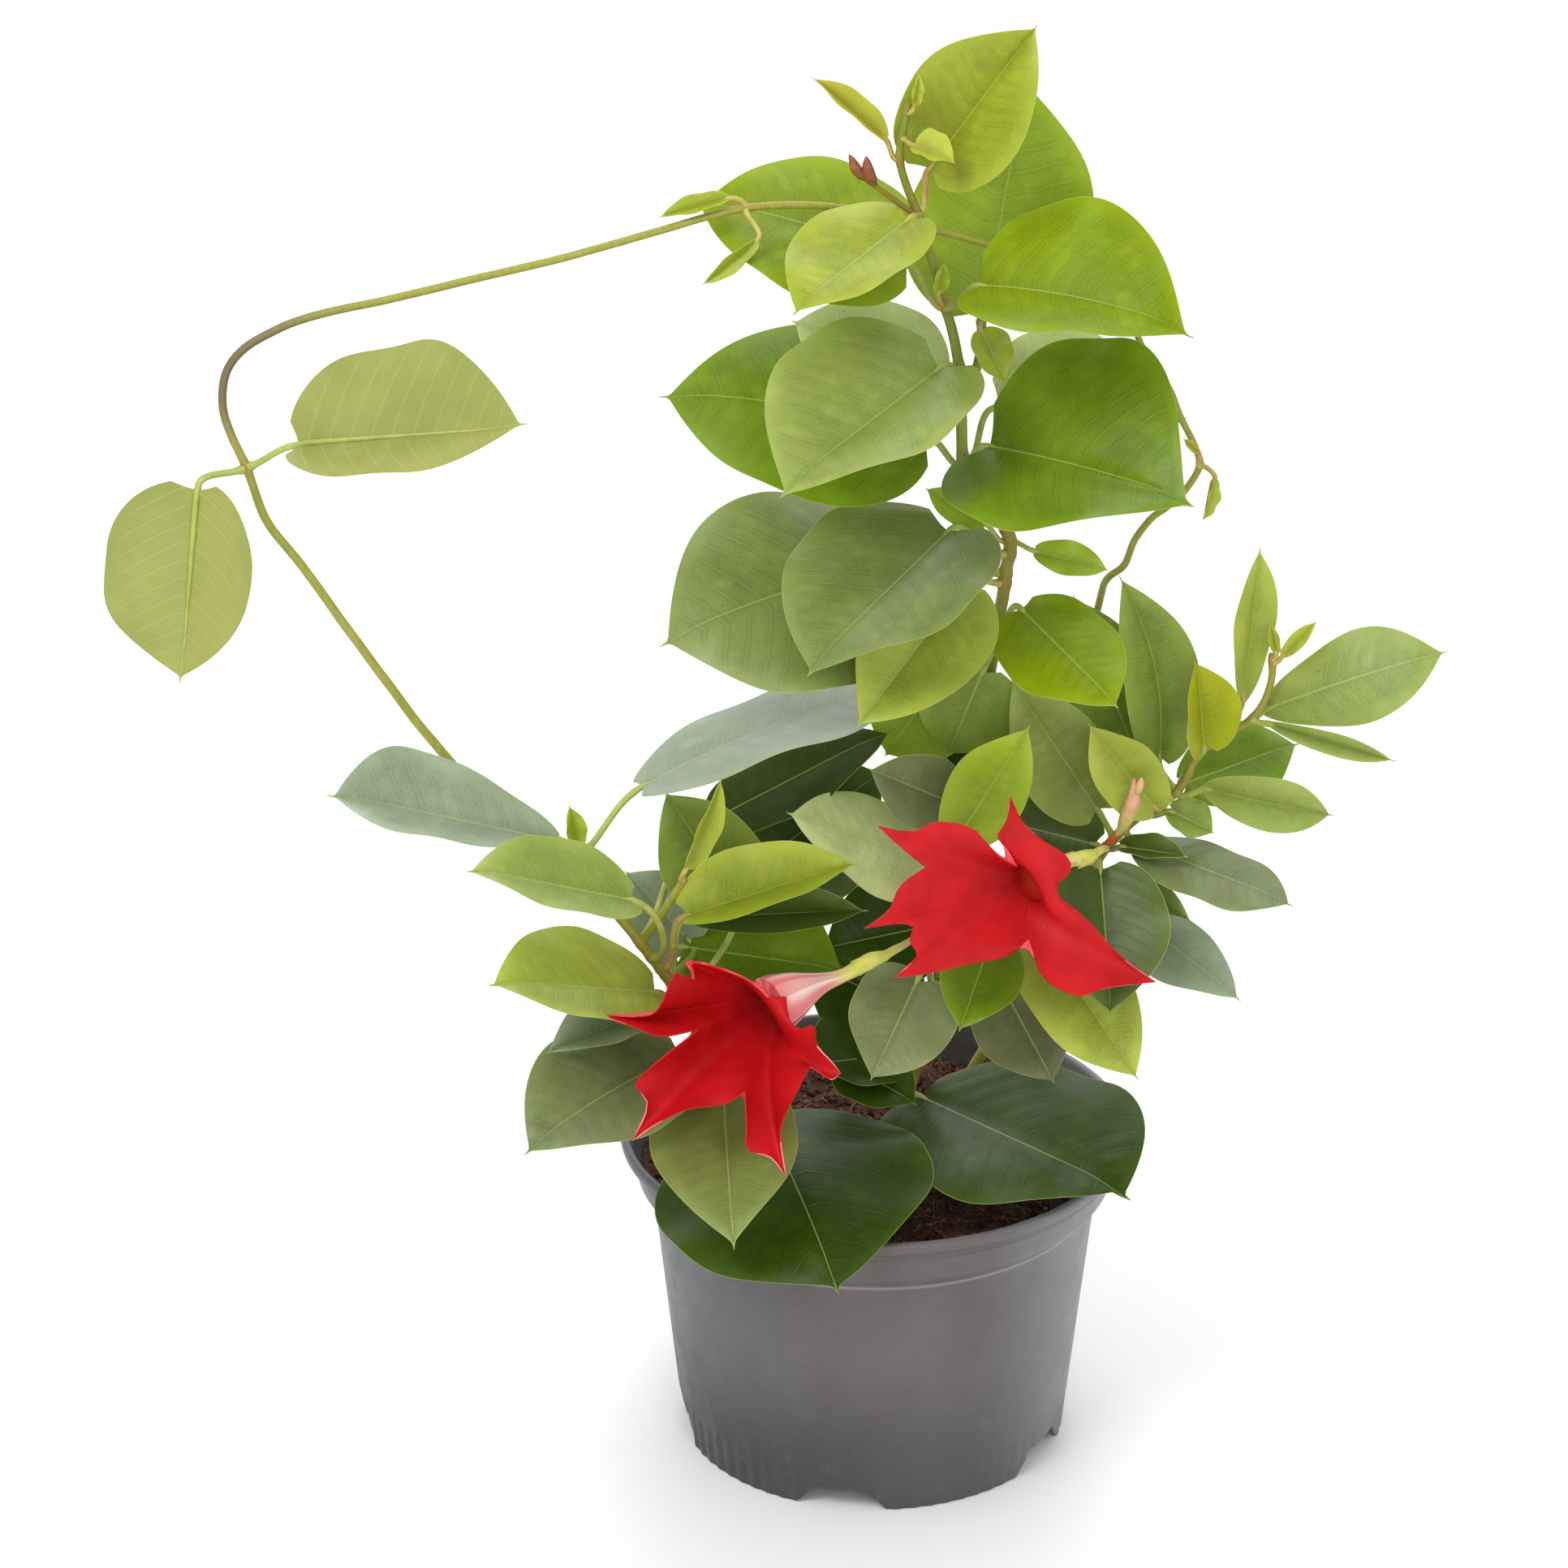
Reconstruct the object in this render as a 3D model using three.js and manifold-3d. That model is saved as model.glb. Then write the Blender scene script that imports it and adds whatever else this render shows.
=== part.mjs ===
// A young flowering mandevilla in a round nursery pot: twining stems, glossy leaves on
// petioles, two red trumpet flowers, buds and soft shoot tips.
// Millimetres, +Z up. The origin is the middle of the face the pot stands on; the front is -Y.
import * as THREE from "three";
import Module from "manifold-3d";

const wasm = await Module();
wasm.setup();

// ---- pot ----
const RIM_RADIUS = 75;
const POT_HEIGHT = 98;
const BASE_RADIUS = 57;
const WALL = 1.5;
const WALL_TOP = 79.5;
const WALL_TOP_RADIUS = 65.6;
const COLLAR_LOW = 84;
const COLLAR_LOW_RADIUS = 70;
const COLLAR_TOP = 94;
const COLLAR_TOP_RADIUS = 72.6;
const FLOOR_RAISE = 7.5;
const BOSS_RADIUS = 12;
const NOTCH_COUNT = 5;
const NOTCH_FRONT_ANGLE = -9.3;
const NOTCH_WIDTH_LOW = 27;
const NOTCH_WIDTH_TOP = 16;
const NOTCH_HEIGHT = 6.5;
const FLUTE_COUNT = 40;
const FLUTE_DEPTH = 0.7;
const FLUTE_TOP = 14;
const POT_SIDES = 64;
// ---- soil ----
const SOIL_TOP = 88;
const SOIL_GAP = 0.3;
// ---- plant ----
const SEAT_GAP = 0.3;
const BLADE_THICKNESS = 0.9;
const PETIOLE_RADIUS = 1.05;
const STEM_SIDES = 6;
const COROLLA_THICKNESS = 0.8;

// Outline forms of a blade: where it is widest, how square its base is, how drawn-out its point.
const BROAD = { belly: 0.38, square: 2.3, point: 0.72 };
const MIDDLE = { belly: 0.42, square: 2.3, point: 0.75 };
const SHARP = { belly: 0.4, square: 2.3, point: 0.95 };
const LATE = { belly: 0.52, square: 2.2, point: 0.66 };
const LONG = { belly: 0.45, square: 2.0, point: 0.8 };
const SLIM = { belly: 0.55, square: 1.5, point: 0.85 };
const TONGUE = { belly: 0.66, square: 1.6, point: 0.62 };

const vec = (p) => new THREE.Vector3(p[0], p[1], p[2]);
const degrees = THREE.MathUtils.degToRad;
const part = new THREE.Group();

function add(name, geometry, colour, roughness) {
  const material = new THREE.MeshStandardMaterial({ color: colour, roughness, metalness: 0 });
  const mesh = new THREE.Mesh(geometry, material);
  mesh.name = name;
  part.add(mesh);
}

// ---- closed bodies from rings of points ----
function ringBody(rings) {
  const sides = rings[0].length;
  const positions = rings.flat().flatMap((p) => [p.x, p.y, p.z]);
  const faces = [];
  for (let i = 0; i < rings.length - 1; i += 1) {
    for (let j = 0; j < sides; j += 1) {
      const a = i * sides + j;
      const b = i * sides + ((j + 1) % sides);
      faces.push(a, b, b + sides, a, b + sides, a + sides);
    }
  }
  const last = (rings.length - 1) * sides;
  for (let j = 1; j < sides - 1; j += 1) {
    faces.push(0, j + 1, j, last, last + j, last + j + 1);
  }
  const geometry = new THREE.BufferGeometry();
  geometry.setAttribute("position", new THREE.Float32BufferAttribute(positions, 3));
  geometry.setIndex(faces);
  return geometry;
}

function toManifold(geometry) {
  const vertProperties = new Float32Array(geometry.attributes.position.array);
  const triVerts = new Uint32Array(geometry.index.array);
  return new wasm.Manifold(new wasm.Mesh({ numProp: 3, vertProperties, triVerts }));
}

function fromManifold(solid) {
  const mesh = solid.getMesh();
  const geometry = new THREE.BufferGeometry();
  geometry.setAttribute("position", new THREE.Float32BufferAttribute(mesh.vertProperties, 3));
  geometry.setIndex(Array.from(mesh.triVerts));
  return geometry;
}

function fuse(geometries) {
  let solid = toManifold(geometries[0]);
  for (const next of geometries.slice(1)) {
    solid = solid.add(toManifold(next));
  }
  return fromManifold(solid);
}

// Frames carried along a list of points without twist, starting from one normal.
function carriedNormals(tangents, firstNormal) {
  const normals = [];
  let normal = firstNormal.clone();
  for (const tangent of tangents) {
    normal = normal.clone().addScaledVector(tangent, -normal.dot(tangent)).normalize();
    normals.push(normal);
  }
  return normals;
}

function circleRing(centre, tangent, normal, radius, sides) {
  const side = normal.clone().cross(tangent);
  const ring = [];
  for (let j = 0; j < sides; j += 1) {
    const angle = (2 * Math.PI * j) / sides;
    const point = centre.clone().addScaledVector(side, radius * Math.cos(angle));
    ring.push(point.addScaledVector(normal, radius * Math.sin(angle)));
  }
  return ring;
}

// ---- stems: a curve through points, with a radius that runs from one value to another ----
// A taper above 1 keeps the first radius for longer; below 1 the stem thins soon after its start.
function stemCurve(points, radiusFrom, radiusTo, taper = 1) {
  const curve = new THREE.CatmullRomCurve3(points.map(vec), false, "centripetal");
  return { curve, radiusAt: (u) => radiusFrom + (radiusTo - radiusFrom) * u ** taper };
}

function stemBody(stem, steps) {
  const tangents = [];
  for (let i = 0; i <= steps; i += 1) {
    tangents.push(stem.curve.getTangentAt(i / steps));
  }
  const start = Math.abs(tangents[0].x) < 0.8 ? vec([1, 0, 0]) : vec([0, 1, 0]);
  const normals = carriedNormals(tangents, start);
  const rings = normals.map((normal, i) => {
    const centre = stem.curve.getPointAt(i / steps);
    return circleRing(centre, tangents[i], normal, stem.radiusAt(i / steps), STEM_SIDES);
  });
  return ringBody(rings);
}

// The nearest point of a stem's centre line to a place, with its direction and radius.
function nearestOn(stem, place) {
  const steps = 400;
  let best = { distance: Infinity };
  for (let i = 0; i <= steps; i += 1) {
    const point = stem.curve.getPointAt(i / steps);
    const distance = point.distanceTo(place);
    if (distance < best.distance) {
      best = { distance, point, u: i / steps };
    }
  }
  best.tangent = stem.curve.getTangentAt(best.u);
  best.radius = stem.radiusAt(best.u);
  return best;
}

// ---- leaf blades ----
function halfWidth(form, s) {
  const a = Math.max(0, (form.belly - s) / form.belly);
  const b = Math.min(1, Math.max(0, (s - form.belly) / (1 - form.belly)));
  const near = (1 - a ** form.square) ** (1 / form.square);
  const body = s < form.belly ? near : (1 - b ** 2.4) ** (form.point + 0.45);
  const drip = 0.05 * Math.min(1, (1 - s) / 0.1);
  return Math.hypot(body, s > form.belly ? drip : 0);
}

// Midrib point and axes at station s: along the midrib, out of the upper face, and to the left.
function bladeFrame(leaf, s) {
  const run = leaf.tip.clone().sub(leaf.base);
  const along = run.clone().normalize();
  const up = leaf.face.clone().addScaledVector(along, -leaf.face.dot(along)).normalize();
  const left = up.clone().cross(along);
  const bow = up.multiplyScalar(leaf.arch).addScaledVector(left, leaf.sweep);
  const point = leaf.base.clone().addScaledVector(run, s).addScaledVector(bow, 4 * s * (1 - s));
  const tangent = run.addScaledVector(bow, 4 * (1 - 2 * s)).normalize();
  const normal = leaf.face.clone().addScaledVector(along, -leaf.face.dot(along));
  normal.addScaledVector(tangent, -normal.dot(tangent)).normalize();
  return { point, tangent, normal, side: normal.clone().cross(tangent) };
}

function bladePoint(leaf, frame, s, across) {
  const reach = (Math.abs(across) * halfWidth(leaf.form, s) * leaf.width) / 2;
  const point = frame.point.clone();
  point.addScaledVector(frame.side, Math.sign(across) * reach * Math.cos(leaf.fold));
  point.addScaledVector(frame.normal, reach * Math.sin(leaf.fold));
  const back = leaf.lobe * (1 - s) ** 4 * Math.abs(across) ** 1.5;
  return point.addScaledVector(frame.tangent, -back);
}

const BLADE_STATIONS = [0.035, 0.14, 0.33, 0.55, 0.74, 0.88, 0.95, 1];
const BLADE_ACROSS = [1, 0.5, 0, -0.5, -1, -0.5, 0, 0.5];
const BLADE_FACE = [0, 1, 1, 1, 0, -1, -1, -1];

function bladeRing(leaf, s) {
  const frame = bladeFrame(leaf, s);
  const thick = (BLADE_THICKNESS / 2) * (s > 0.9 ? 0.6 : 1);
  return BLADE_ACROSS.map((across, j) => {
    const half = thick * (1 - 0.4 * Math.abs(across));
    return bladePoint(leaf, frame, s, across).addScaledVector(frame.normal, BLADE_FACE[j] * half);
  });
}

// A petiole leaves the stem square to it and runs smoothly into the midrib.
function petioleRings(leaf, steps) {
  const end = bladeFrame(leaf, 0);
  const root = nearestOn(leaf.stem, leaf.node);
  const out = leaf.base.clone().sub(root.point);
  out.addScaledVector(root.tangent, -out.dot(root.tangent)).normalize();
  const start = root.point.clone().addScaledVector(out, root.radius + leaf.gap);
  const reach = start.distanceTo(leaf.base) / 3;
  const first = start.clone().addScaledVector(out, reach);
  const last = leaf.base.clone().addScaledVector(end.tangent, -reach);
  const curve = new THREE.CubicBezierCurve3(start, first, last, leaf.base);
  const tangents = [];
  for (let i = steps; i >= 0; i -= 1) {
    tangents.push(curve.getTangent(i / steps));
  }
  const normals = carriedNormals(tangents, end.normal).reverse();
  tangents.reverse();
  return tangents.map((tangent, i) => {
    const centre = curve.getPoint(i / steps);
    return circleRing(centre, tangent, normals[i], leaf.petiole, BLADE_ACROSS.length);
  });
}

function leafBody(leaf) {
  const steps = leaf.base.distanceTo(leaf.node) > 25 ? 5 : 3;
  return ringBody([...petioleRings(leaf, steps), ...BLADE_STATIONS.map((s) => bladeRing(leaf, s))]);
}

function leafFrom(stem, node, base, tip, width, face, fold, form, extra) {
  return {
    stem,
    node: vec(node),
    base: vec(base),
    tip: vec(tip),
    width,
    face: vec(face),
    fold: degrees(fold),
    form,
    arch: 0,
    sweep: 0,
    lobe: 2,
    gap: SEAT_GAP,
    petiole: PETIOLE_RADIUS,
    ...extra,
  };
}

// ---- pot and soil ----
function wallRadius(z) {
  return BASE_RADIUS + ((WALL_TOP_RADIUS - BASE_RADIUS) * z) / WALL_TOP;
}

function latheBody(profile, sides) {
  const rings = profile.map(([radius, z]) => {
    const ring = [];
    for (let j = 0; j < sides; j += 1) {
      const angle = (2 * Math.PI * j) / sides;
      ring.push(vec([radius * Math.sin(angle), -radius * Math.cos(angle), z]));
    }
    return ring;
  });
  return ringBody(rings);
}

function potBody() {
  const profile = [
    [BOSS_RADIUS, 0],
    [BOSS_RADIUS, FLOOR_RAISE],
    [BASE_RADIUS - 2.2, FLOOR_RAISE],
    [BASE_RADIUS - 1.8, 0],
    [BASE_RADIUS, 0],
    [wallRadius(FLUTE_TOP), FLUTE_TOP],
    [WALL_TOP_RADIUS, WALL_TOP],
    [COLLAR_LOW_RADIUS - 1, COLLAR_LOW - 1.6],
    [COLLAR_LOW_RADIUS, COLLAR_LOW],
    [COLLAR_TOP_RADIUS, COLLAR_TOP],
    [RIM_RADIUS, COLLAR_TOP + 1.2],
    [RIM_RADIUS, POT_HEIGHT - 0.8],
    [RIM_RADIUS - 0.7, POT_HEIGHT],
    [RIM_RADIUS - 2, POT_HEIGHT],
    [COLLAR_TOP_RADIUS - WALL, COLLAR_TOP],
    [COLLAR_LOW_RADIUS - WALL, COLLAR_LOW + 0.6],
    [WALL_TOP_RADIUS - WALL, WALL_TOP],
    [wallRadius(FLOOR_RAISE + WALL) - WALL, FLOOR_RAISE + WALL],
  ];
  const solid = toManifold(latheBody(profile, POT_SIDES));
  return fromManifold(solid.subtract(notches()).subtract(flutes()));
}

// Trapezoid gaps through the foot ring, wider at the floor.
function notches() {
  const blocks = [];
  for (let k = 0; k < NOTCH_COUNT; k += 1) {
    const angle = degrees(NOTCH_FRONT_ANGLE + (360 * k) / NOTCH_COUNT);
    const out = vec([Math.sin(angle), -Math.cos(angle), 0]);
    const side = vec([Math.cos(angle), Math.sin(angle), 0]);
    const rings = [BASE_RADIUS - 8, BASE_RADIUS + 8].map((radius) =>
      [
        [-NOTCH_WIDTH_LOW / 2, -1],
        [-NOTCH_WIDTH_TOP / 2, NOTCH_HEIGHT],
        [NOTCH_WIDTH_TOP / 2, NOTCH_HEIGHT],
        [NOTCH_WIDTH_LOW / 2, -1],
      ].map(([across, z]) => out.clone().multiplyScalar(radius).addScaledVector(side, across).setZ(z)),
    );
    blocks.push(ringBody(rings.map((ring) => ring.reverse())));
  }
  return toManifold(fuse(blocks));
}

// Short upright grooves around the outside of the foot.
function flutes() {
  const cuts = [];
  for (let k = 0; k < FLUTE_COUNT; k += 1) {
    const angle = (2 * Math.PI * (k + 0.5)) / FLUTE_COUNT;
    const out = vec([Math.sin(angle), -Math.cos(angle), 0]);
    const side = vec([Math.cos(angle), Math.sin(angle), 0]);
    const rings = [-1, FLUTE_TOP].map((z) => {
      const face = wallRadius(z) * Math.cos(Math.PI / FLUTE_COUNT);
      const inner = out.clone().multiplyScalar(face - FLUTE_DEPTH).setZ(z);
      const outer = out.clone().multiplyScalar(face + 1).setZ(z);
      const one = outer.clone().addScaledVector(side, -2);
      const two = outer.clone().addScaledVector(side, 2);
      const shrink = z < 0 ? 0 : 0.3;
      return [inner, one, two].map((p) => p.clone().lerp(outer, shrink));
    });
    cuts.push(ringBody(rings));
  }
  return toManifold(fuse(cuts));
}

function soilBody() {
  const low = FLOOR_RAISE + WALL + SOIL_GAP;
  const inset = WALL + SOIL_GAP + 0.1;
  const profile = [
    [wallRadius(low) - inset, low],
    [WALL_TOP_RADIUS - inset, WALL_TOP + 0.3],
    [COLLAR_LOW_RADIUS - inset, COLLAR_LOW + 0.9],
    [COLLAR_LOW_RADIUS - inset, SOIL_TOP - 1],
    [WALL_TOP_RADIUS - 4, SOIL_TOP],
  ];
  return latheBody(profile, 40);
}

// ---- stems ----
const SOIL_SEAT = SOIL_TOP + SEAT_GAP;
const mainStem = stemCurve(
  [
    [7, 10, SOIL_SEAT],
    [7, 10, 92],
    [12, 12, 112],
    [21, 13, 150],
    [27, 12, 195],
    [31, 10, 230],
    [34, 8, 254],
    [36, 7, 270],
    [37, 6, 281],
    [32, 6, 291],
    [24, 6, 303],
    [23, 5, 319],
    [22, 5, 333],
    [18, 5, 351],
    [14, 4, 365],
    [10, 3, 378],
    [5, 2, 394],
    [6, 1, 403],
    [7, 0, 411],
  ],
  2.0,
  0.9,
  3,
);
const crownBranch = stemCurve([[23, 5, 319], [26, 9, 327], [28, 10, 336], [28, 12, 345]], 1.5, 1.2);
const leftStem = stemCurve(
  [
    [-25, 0, SOIL_SEAT],
    [-25, 0, 92],
    [-36, -14, 115],
    [-50, -30, 145],
    [-60, -38, 165],
    [-69, -40, 179],
    [-79, -38, 192],
    [-83, -37, 201],
    [-94, -32, 206],
    [-109, -29, 214],
    [-125, -31, 234],
    [-136, -33, 251],
    [-149, -33, 271],
    [-159, -32, 286],
    [-169, -31, 300],
    [-174, -30, 315],
    [-178, -29, 324],
    [-180, -28, 332],
    [-179, -27, 341],
    [-174, -26, 348],
    [-165, -24, 353],
    [-156, -22, 356],
    [-134, -18, 360],
    [-108, -13, 365],
    [-86, -8, 369],
    [-64, -3, 374],
    [-48, 0, 378],
    [-37, 2, 380],
    [-21, 5, 380],
    [-6, 9, 377],
    [12, 12, 371],
    [21, 15, 368],
    [33, 16, 364],
  ],
  2.1,
  1.0,
  0.35,
);
const rightStem = stemCurve(
  [
    [25, 26, SOIL_SEAT],
    [25, 26, 92],
    [36, 29, 115],
    [50, 25, 145],
    [60, 15, 168],
    [67, 6, 186],
    [75, 5, 195],
    [86, 4, 204],
    [92, 3, 216],
    [100, 3, 223],
    [107, 2, 228],
    [112, 2, 240],
    [112, 2, 248],
  ],
  1.9,
  1.0,
);
const rightRunner = stemCurve(
  [
    [50, 25, 145],
    [56, 30, 180],
    [60, 33, 222],
    [64, 27, 256],
    [66, 22, 263],
    [70, 19, 268],
    [73, 17, 277],
    [77, 15, 284],
    [82, 12, 289],
    [87, 9, 296],
    [90, 6, 304],
    [88, 6, 310],
    [84, 8, 318],
    [81, 10, 325],
    [76, 12, 331],
    [71, 14, 341],
    [68, 16, 347],
  ],
  1.3,
  0.9,
);

const TWIG = { gap: -1, petiole: 0.8, lobe: 0.5 };
const GROWN = { gap: -1 };
const tipLeaves = [
  leafFrom(mainStem, [5, 2, 394], [1, 2, 400], [-19, 4, 417], 12, [0.5, -0.8, 0.4], 55, LONG, TWIG),
  leafFrom(mainStem, [6, 1, 400], [9, -4, 400], [20, -9, 397], 13, [0.1, -0.6, 0.8], 40, BROAD, TWIG),
  leafFrom(mainStem, [7, 0, 408], [9, -1, 411], [10, -3, 420], 5, [0.2, -1, 0], 50, LONG, TWIG),
  leafFrom(mainStem, [18, 5, 351], [16, 2, 356], [17.5, 0.5, 365], 6, [0.1, -1, 0], 45, LONG, TWIG),
  leafFrom(
    crownBranch, [28, 12, 344], [28, 7, 343], [35, 0, 330], 13, [0.3, -0.8, 0.5], 25, BROAD, TWIG,
  ),
  leafFrom(mainStem, [37, 6, 281], [44, 2, 279], [65, -2, 275], 11, [0.2, -0.8, 0.6], 20, LONG, TWIG),
  leafFrom(mainStem, [37, 6, 281], [30, 5, 286], [13, 4, 297], 11, [-0.1, -0.9, 0.5], 25, LONG, TWIG),
];
const leftTips = [
  leafFrom(leftStem, [-37, 2, 380], [-42, 1, 383], [-61, 0, 378], 8, [0, -0.7, 0.7], 45, LONG, TWIG),
  leafFrom(leftStem, [-37, 2, 380], [-34, -5, 373], [-49, -8, 361], 7, [0.7, -0.5, 0.5], 45, LONG, TWIG),
  leafFrom(leftStem, [-83, -37, 201], [-84, -40, 206], [-86, -42, 219], 8, [0.4, -0.9, 0], 40, LONG, TWIG),
];
const rightTips = [
  leafFrom(rightRunner, [90, 6, 304], [94, 2, 301], [91, -2, 290], 6, [0.6, -0.8, 0], 45, LONG, TWIG),
  leafFrom(rightRunner, [90, 6, 304], [89, 3, 309], [85, 2, 313], 4, [0.3, -0.9, 0.2], 45, LONG, TWIG),
  leafFrom(rightStem, [112, 2, 247], [113, 1, 249], [111, 1, 258], 5, [0.1, -1, 0], 50, LONG, TWIG),
  leafFrom(rightStem, [112, 2, 246], [115, 1, 248], [124, 0, 259], 6, [-0.4, -0.9, 0.1], 40, LONG, TWIG),
];
const mainInner = [
  leafFrom(mainStem, [21, 13, 150], [17, 8, 159], [-16, 4, 153], 34, [-0.1, -0.8, 0.6], 15, BROAD, GROWN),
  leafFrom(
    mainStem, [21, 5, 331], [16, 14, 324], [-25, 21, 341], 34, [0.1, -0.8, 0.6], 10, BROAD, GROWN,
  ),
  leafFrom(mainStem, [29, 11, 212], [33, 18, 214], [52, 24, 190], 20, [0, -0.9, 0.3], 20, BROAD, GROWN),
  leafFrom(
    mainStem, [12, 12, 112], [-8, -4, 119], [12, -19, 114.5], 24, [0.1, -0.6, 0.8], 20, BROAD, GROWN,
  ),
  leafFrom(
    mainStem, [14, 12, 118], [2, 2, 119], [-20, -14, 124], 32, [-0.1, -0.5, 0.9], 20, BROAD, GROWN,
  ),
  leafFrom(mainStem, [28, 12, 200], [36, 22, 185], [10, 26, 218], 36, [0, -0.9, 0.3], 15, BROAD, GROWN),
  leafFrom(mainStem, [15, 12, 124], [10, 14, 128], [-22, 12, 146], 36, [-0.1, -0.8, 0.6], 15, BROAD, GROWN),
];
const leftInner = [
  leafFrom(
    leftStem, [-52, -32, 149], [-42, 6, 172], [2, 19, 204], 48, [-0.2, -0.8, 0.6], 10, MIDDLE, GROWN,
  ),
  leafFrom(
    leftStem, [-48, -28, 140], [-56, -14, 162], [-8, -12, 154], 50, [0, -0.6, 0.8], 15, BROAD, GROWN,
  ),
  leafFrom(leftStem, [-60, -38, 165], [-53, -28, 178], [-2, -22, 178], 22, [0, -0.8, 0.6], 50, LONG, GROWN),
  leafFrom(
    leftStem, [-58, -36, 162], [-54, -12, 163], [-72, -10, 184], 28, [0.2, -0.9, 0.3], 25, BROAD, GROWN,
  ),
  leafFrom(
    leftStem, [-50, -30, 145], [-65, -34, 151], [-93, -54, 148], 26, [0, -0.7, 0.7], 50, LONG, GROWN,
  ),
];
const rightInner = [
  leafFrom(rightStem, [67, 6, 186], [71, -2, 189], [89, -12, 191], 11, [0, -0.6, 0.8], 40, LONG, GROWN),
  leafFrom(rightStem, [64, 9, 179], [68, 1, 177], [91, -11, 170], 13, [0, -0.6, 0.8], 45, LONG, GROWN),
  leafFrom(
    rightStem, [64, 10, 178], [64, 15, 182], [34, 17, 189], 25, [0, -0.9, 0.4], 15, BROAD, GROWN,
  ),
  leafFrom(rightStem, [78, 5, 197], [85, 3, 198], [97, 0, 193], 14, [0.1, -0.7, 0.7], 30, LONG, GROWN),
];
const leftShoot = stemCurve([[-66, -40, 176], [-60, -44, 187], [-54, -47, 199]], 1.3, 1.0);
const leftShootLeaves = [
  leafFrom(
    leftShoot, [-54, -47, 199], [-53, -50, 204], [-43, -50, 231], 11, [0.5, -0.8, 0.1], 45, LONG, TWIG,
  ),
];

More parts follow.
